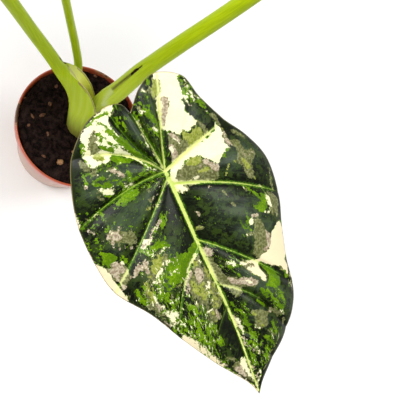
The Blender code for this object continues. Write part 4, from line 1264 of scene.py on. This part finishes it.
def petiole_loft(points, around, height):
    """The petiole's skin through its rings of points, with flat ends and its own UV map."""
    bm = bmesh.new()
    verts = [bm.verts.new(point) for point in points]
    layer = bm.loops.layers.uv.new("UVMap")
    count = PETIOLE_SIDES + CHANNEL_SIDES
    for base in range(0, len(points) - count, count):
        for j in range(count):
            n = (j + 1) % count
            corners = (base + j, base + n, base + count + n, base + count + j)
            for loop, c in zip(bm.faces.new([verts[c] for c in corners]).loops, corners):
                loop[layer].uv = (around[c], height[c])
    bm.faces.new(verts[count - 1::-1])
    bm.faces.new(verts[-count:])
    return bm


def build_petiole(name, petiole, leaf, finish):
    """A loft of fine sections, with height, distance to the sheath's lip and marks."""
    points, height, lip, around, inside = [], [], [], [], []
    for s, ring, depth in petiole_sections(petiole, leaf):
        open_share = min(1.0, max(0.0, depth / 2.0)) if name == "left" else 0.0
        run = 0.0
        for i, point in enumerate(ring):
            run += (point - ring[i - 1]).length if i else 0.0
            near = min((point - ring[k]).length for k in (0, PETIOLE_SIDES - 1))
            points.append(point)
            height.append(s)
            lip.append(near + NO_LIP * (1.0 - open_share))
            around.append(run)
            inside.append(float(i >= PETIOLE_SIDES and open_share > 0.0))
    mesh = mesh_of("stem_" + name, petiole_loft(points, around, height))
    set_numbers(mesh, height=height, lip=lip, inside=inside)
    places = np.array([tuple(point) for point in points])
    surface = node_surface("petiole_" + name)
    for kind in MARK_KINDS:
        strokes = [(radius, *seen_places(surface, pixels))
                   for mark, radius, *pixels in MARKS.get(name, []) if mark == kind]
        set_numbers(mesh, **{kind: mark_depths(places, strokes)})
    hand_in(add_piece("stem_" + name, mesh, finish), "petiole_green", "petiole_" + name)


# Pot

def pot_radius(height):
    """Outer radius of the tapered wall at a height."""
    wall_top = POT_TOP_RADIUS - LIP_STEP
    return POT_BASE_RADIUS + (wall_top - POT_BASE_RADIUS) * height / POT_HEIGHT


def inner_wall():
    """Height and radius rows up the inside of the pot, from floor to lip."""
    return [(POT_FLOOR, pot_radius(POT_FLOOR) - POT_WALL),
            (LIP_FOOT - 2.0, pot_radius(LIP_FOOT) - POT_WALL),
            (POT_HEIGHT - 2.5, LIP_INNER), (POT_HEIGHT - 0.5, LIP_INNER + 0.5)]


def pot_profile():
    """Radius and height rows of the turned pot: inside, rolled lip, outer wall, foot."""
    inside = [(0.0, POT_FLOOR)] + [(radius, height) for height, radius in inner_wall()]
    lip = [(LIP_INNER + 0.8, POT_HEIGHT - 0.12), (LIP_INNER + 1.2, POT_HEIGHT),
           (POT_TOP_RADIUS - 1.0, POT_HEIGHT), (POT_TOP_RADIUS - 0.5, POT_HEIGHT - 0.2),
           (POT_TOP_RADIUS - 0.2, POT_HEIGHT - 0.8), (POT_TOP_RADIUS - 0.5, LIP_FOOT + 0.6),
           (POT_TOP_RADIUS - 0.7, LIP_FOOT + 0.2), (POT_TOP_RADIUS - 1.1, LIP_FOOT)]
    wall = [(pot_radius(LIP_FOOT) + 0.1, LIP_FOOT - 0.2), (pot_radius(LIP_FOOT), LIP_FOOT - 0.5),
            (pot_radius(FOOT_HEIGHT) + 0.4, FOOT_HEIGHT + 0.4),
            (pot_radius(FOOT_HEIGHT), FOOT_HEIGHT)]
    foot = [(POT_BASE_RADIUS, FOOT_HEIGHT - 0.4), (POT_BASE_RADIUS - 0.1, 1.2),
            (POT_BASE_RADIUS - 0.3, 0.5), (POT_BASE_RADIUS - 1.0, 0.0), (0.0, 0.0)]
    return inside + lip + wall + foot


def close_up(bm):
    """Merge a turned shape's doubled points, and point its faces outwards."""
    bmesh.ops.remove_doubles(bm, verts=bm.verts, dist=0.01)
    bmesh.ops.recalc_face_normals(bm, faces=bm.faces)


def drill(pot):
    """Cut the ring of drainage holes."""
    drills = []
    for i in range(DRAIN_COUNT):
        angle = 2 * math.pi * (i + 0.5) / DRAIN_COUNT
        bm = bmesh.new()
        bmesh.ops.create_cone(bm, cap_ends=True, segments=DRAIN_SIDES, radius1=DRAIN_RADIUS,
                              radius2=DRAIN_RADIUS, depth=4 * POT_FLOOR)
        place = Vector((DRAIN_CIRCLE * math.cos(angle), DRAIN_CIRCLE * math.sin(angle), 0))
        bmesh.ops.translate(bm, vec=place, verts=bm.verts)
        drills.append(add_piece("drill", mesh_of("drill", bm)))
        hole = pot.modifiers.new("hole", "BOOLEAN")
        hole.operation = "DIFFERENCE"
        hole.solver = "EXACT"
        hole.object = drills[-1]
    bake(pot)
    for cutter in drills:
        bpy.data.objects.remove(cutter, do_unlink=True)


def build_pot(finish):
    """The moulded pot: rolled lip, plain wall, foot ring and drainage holes."""
    bm = bmesh.new()
    points = [bm.verts.new((radius, 0.0, height)) for radius, height in pot_profile()]
    edges = [bm.edges.new((a, b)) for a, b in zip(points, points[1:])]
    bmesh.ops.spin(bm, geom=points + edges, cent=(0, 0, 0), axis=(0, 0, 1),
                   angle=2 * math.pi, steps=POT_STEPS)
    close_up(bm)
    pot = add_piece("moulded_pot", mesh_of("moulded_pot", bm), finish)
    drill(pot)
    pot.data.shade_smooth()
    places = np.array([vert.co for vert in pot.data.vertices]) / MM
    set_numbers(pot.data, smear=mark_depths(places, SMEARS))
    hand_in(pot, "terracotta_plastic", "pot")


# Potting mix

def mix_height(x, y):
    """Height of the crumbly surface of the potting mix."""
    away = math.hypot(x - MIX_CENTRE[0], y - MIX_CENTRE[1])
    mound = MIX_MOUND * math.exp(-(away / MOUND_WIDTH) ** 2)
    crumbs = (math.sin(0.31 * x + 1.3) * math.cos(0.27 * y - 0.4)
              + 0.6 * math.sin(0.62 * x - 0.45 * y) + 0.5 * math.cos(0.9 * y + 0.5 * x))
    lumps = noise.fractal(Vector((x, y, 3.0)) * 0.22, 0.8, 2.1, 5)
    return MIX_TOP + mound + MIX_CRUMB * crumbs + MIX_LUMP * lumps


def crumb_tree(finish):
    """Geometry nodes that strew crumbs over the upward faces and join them to the mix."""
    tree = bpy.data.node_groups.new("strewn_crumbs", "GeometryNodeTree")
    for in_out in ("INPUT", "OUTPUT"):
        tree.interface.new_socket("Geometry", in_out=in_out, socket_type="NodeSocketGeometry")
    for label, size in CRUMBS.items():
        socket = tree.interface.new_socket(label, in_out="INPUT", socket_type="NodeSocketFloat")
        socket.default_value = size

    def node(kind, inputs, **settings):
        return add_node(tree, kind, inputs, **settings).outputs

    mix, density, smallest, largest = node("NodeGroupInput", {})[:4]
    normal = node("GeometryNodeInputNormal", {})[0]
    height = node("ShaderNodeSeparateXYZ", {0: normal})["Z"]
    upward = node("FunctionNodeCompare", {"A": height, "B": 0.6}, operation="GREATER_THAN")[0]
    places = node("GeometryNodeDistributePointsOnFaces",
                  {"Mesh": mix, "Selection": upward, "Density": density, "Seed": 11})["Points"]
    lump = node("GeometryNodeMeshIcoSphere", {"Radius": 1.0, "Subdivisions": 1})["Mesh"]
    turn = node("FunctionNodeRandomValue", {"Max": (6.28, 6.28, 6.28)}, data_type="FLOAT_VECTOR")[0]
    stretch = node("FunctionNodeRandomValue", {"Min": (0.6, 0.5, 0.4), "Max": (1.6, 1.2, 0.9),
                                               "Seed": 5}, data_type="FLOAT_VECTOR")[0]
    size = node("FunctionNodeRandomValue", {2: smallest, 3: largest, "Seed": 7})[1]
    scale = node("ShaderNodeVectorMath", {0: stretch, "Scale": size}, operation="SCALE")[0]
    crumbs = node("GeometryNodeInstanceOnPoints", {"Points": places, "Instance": lump,
                                                   "Rotation": turn, "Scale": scale})[0]
    join = add_node(tree, "GeometryNodeJoinGeometry", {0: mix})
    tree.links.new(crumbs, join.inputs[0])
    whole = node("GeometryNodeRealizeInstances", {0: join.outputs[0]})[0]
    node("NodeGroupOutput", {0: node("GeometryNodeSetMaterial",
                                     {"Geometry": whole, "Material": finish})[0]})
    return tree


def mix_body():
    """The mix as a closed turned body, whose top is lumpy."""
    wall = inner_wall()
    foot = POT_FLOOR + 0.3
    edge = straight_row(wall, MIX_TOP)[0] - MIX_GAP
    rings = [(0.0, foot)]
    rings += [(straight_row(wall, height)[0] - MIX_GAP, height) for height in (foot, wall[1][0])]
    rings += [(edge * k / MIX_RINGS, None) for k in range(MIX_RINGS, -1, -1)]
    bm = bmesh.new()
    loops = []
    for radius, height in rings:
        loop = []
        for j in range(MIX_SPOKES):
            angle = 2 * math.pi * j / MIX_SPOKES
            x, y = radius * math.cos(angle), radius * math.sin(angle)
            loop.append(bm.verts.new((x, y, mix_height(x, y) if height is None else height)))
        loops.append(loop)
    for low, high in zip(loops, loops[1:]):
        for j in range(MIX_SPOKES):
            k = (j + 1) % MIX_SPOKES
            bm.faces.new((low[j], low[k], high[k], high[j]))
    close_up(bm)
    return bm


def build_mix(finish):
    """The mix, with crumbs strewn over its top."""
    mix = add_piece("peat_and_crumbs", mesh_of("peat_and_crumbs", mix_body()), finish)
    crumbs = mix.modifiers.new("crumbs", "NODES")
    crumbs.node_group = crumb_tree(finish)
    for item in crumbs.node_group.interface.items_tree:
        if item.in_out == "INPUT" and item.name in CRUMBS:
            crumbs[item.identifier] = CRUMBS[item.name]
    bake(mix)
    hand_in(mix, "peat_mix", "potting_mix")


def build_chips(name, finish, seed, chips):
    """Rough chips that lie in the mix."""
    draw = np.random.default_rng(seed)
    bm = bmesh.new()
    for x, y, length, width in chips:
        chip = bmesh.ops.create_icosphere(bm, subdivisions=2, radius=1.0)["verts"]
        spin, tilt = draw.uniform(0, 6.28), draw.uniform(-CHIP_TILT, CHIP_TILT)
        turn = Matrix.Rotation(spin, 4, "Z") @ Matrix.Rotation(tilt, 4, "X")
        for vert in chip:
            rough = 1.0 + CHIP_ROUGH * draw.normal()
            shape = Vector((vert.co.x * length / 2, vert.co.y * width / 2, vert.co.z * width / 3))
            vert.co = turn @ (shape * rough) + Vector((x, y, mix_height(x, y) + width * 0.2))
    hand_in(add_piece(name, mesh_of(name, bm), finish), "peat_mix")


# Stage

def build_floor(finish):
    """A wide pale floor under the pot."""
    bm = bmesh.new()
    bmesh.ops.create_grid(bm, x_segments=1, y_segments=1, size=FLOOR_HALF)
    add_piece("floor", mesh_of("floor", bm), finish)


def add_light(name, at, size, power):
    """A soft square light that faces the plant."""
    data = bpy.data.lights.new(name, "AREA")
    data.size = size
    data.energy = power
    lamp = place_in_scene(name, data)
    lamp.location = at
    lamp.rotation_euler = (LIT_PLACE - Vector(at)).to_track_quat("-Z", "Y").to_euler()


def build_stage():
    """Camera at the photograph's viewing angle, soft studio light and the floor."""
    data = bpy.data.cameras.new("camera")
    data.lens = CAMERA_LENS
    camera = place_in_scene("camera", data)
    turn = Matrix((CAMERA_X, CAMERA_Y, CAMERA_Z)).transposed().to_4x4()
    camera.matrix_world = Matrix.Translation(CAMERA_AT) @ turn
    bpy.context.scene.camera = camera
    world = bpy.data.worlds.new("studio")
    world.use_nodes = True
    sky = world.node_tree.nodes["Background"].inputs
    sky["Color"].default_value = colour(255, 255, 255)
    sky["Strength"].default_value = SKY_STRENGTH
    bpy.context.scene.world = world
    bpy.context.scene.view_settings.view_transform = "Standard"
    for light in LIGHTS:
        add_light(*light)
    build_floor(floor_finish())


def main():
    """Build every piece."""
    build_stage()
    leaf_faces = [leaf_upper_finish(), leaf_under_finish()]
    for name, leaf in LEAVES.items():
        build_blade(name, leaf, leaf_faces)
    skin = petiole_finish()
    for name, petiole in PETIOLES.items():
        build_petiole(name, petiole, LEAVES[name], skin)
    build_pot(pot_finish())
    build_mix(mix_finish())
    bark = chip_finish("bark", (66, 42, 30), (132, 88, 62), 90)
    build_chips("bark_chips", bark, 21, BARK_CHIPS)
    grit = chip_finish("pale_grit", (132, 90, 60), (180, 134, 92), 91)
    build_chips("pale_chips", grit, 22, PALE_CHIPS)
    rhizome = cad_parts["rhizome"].data.materials
    rhizome.clear()
    rhizome.append(rhizome_finish())


main()
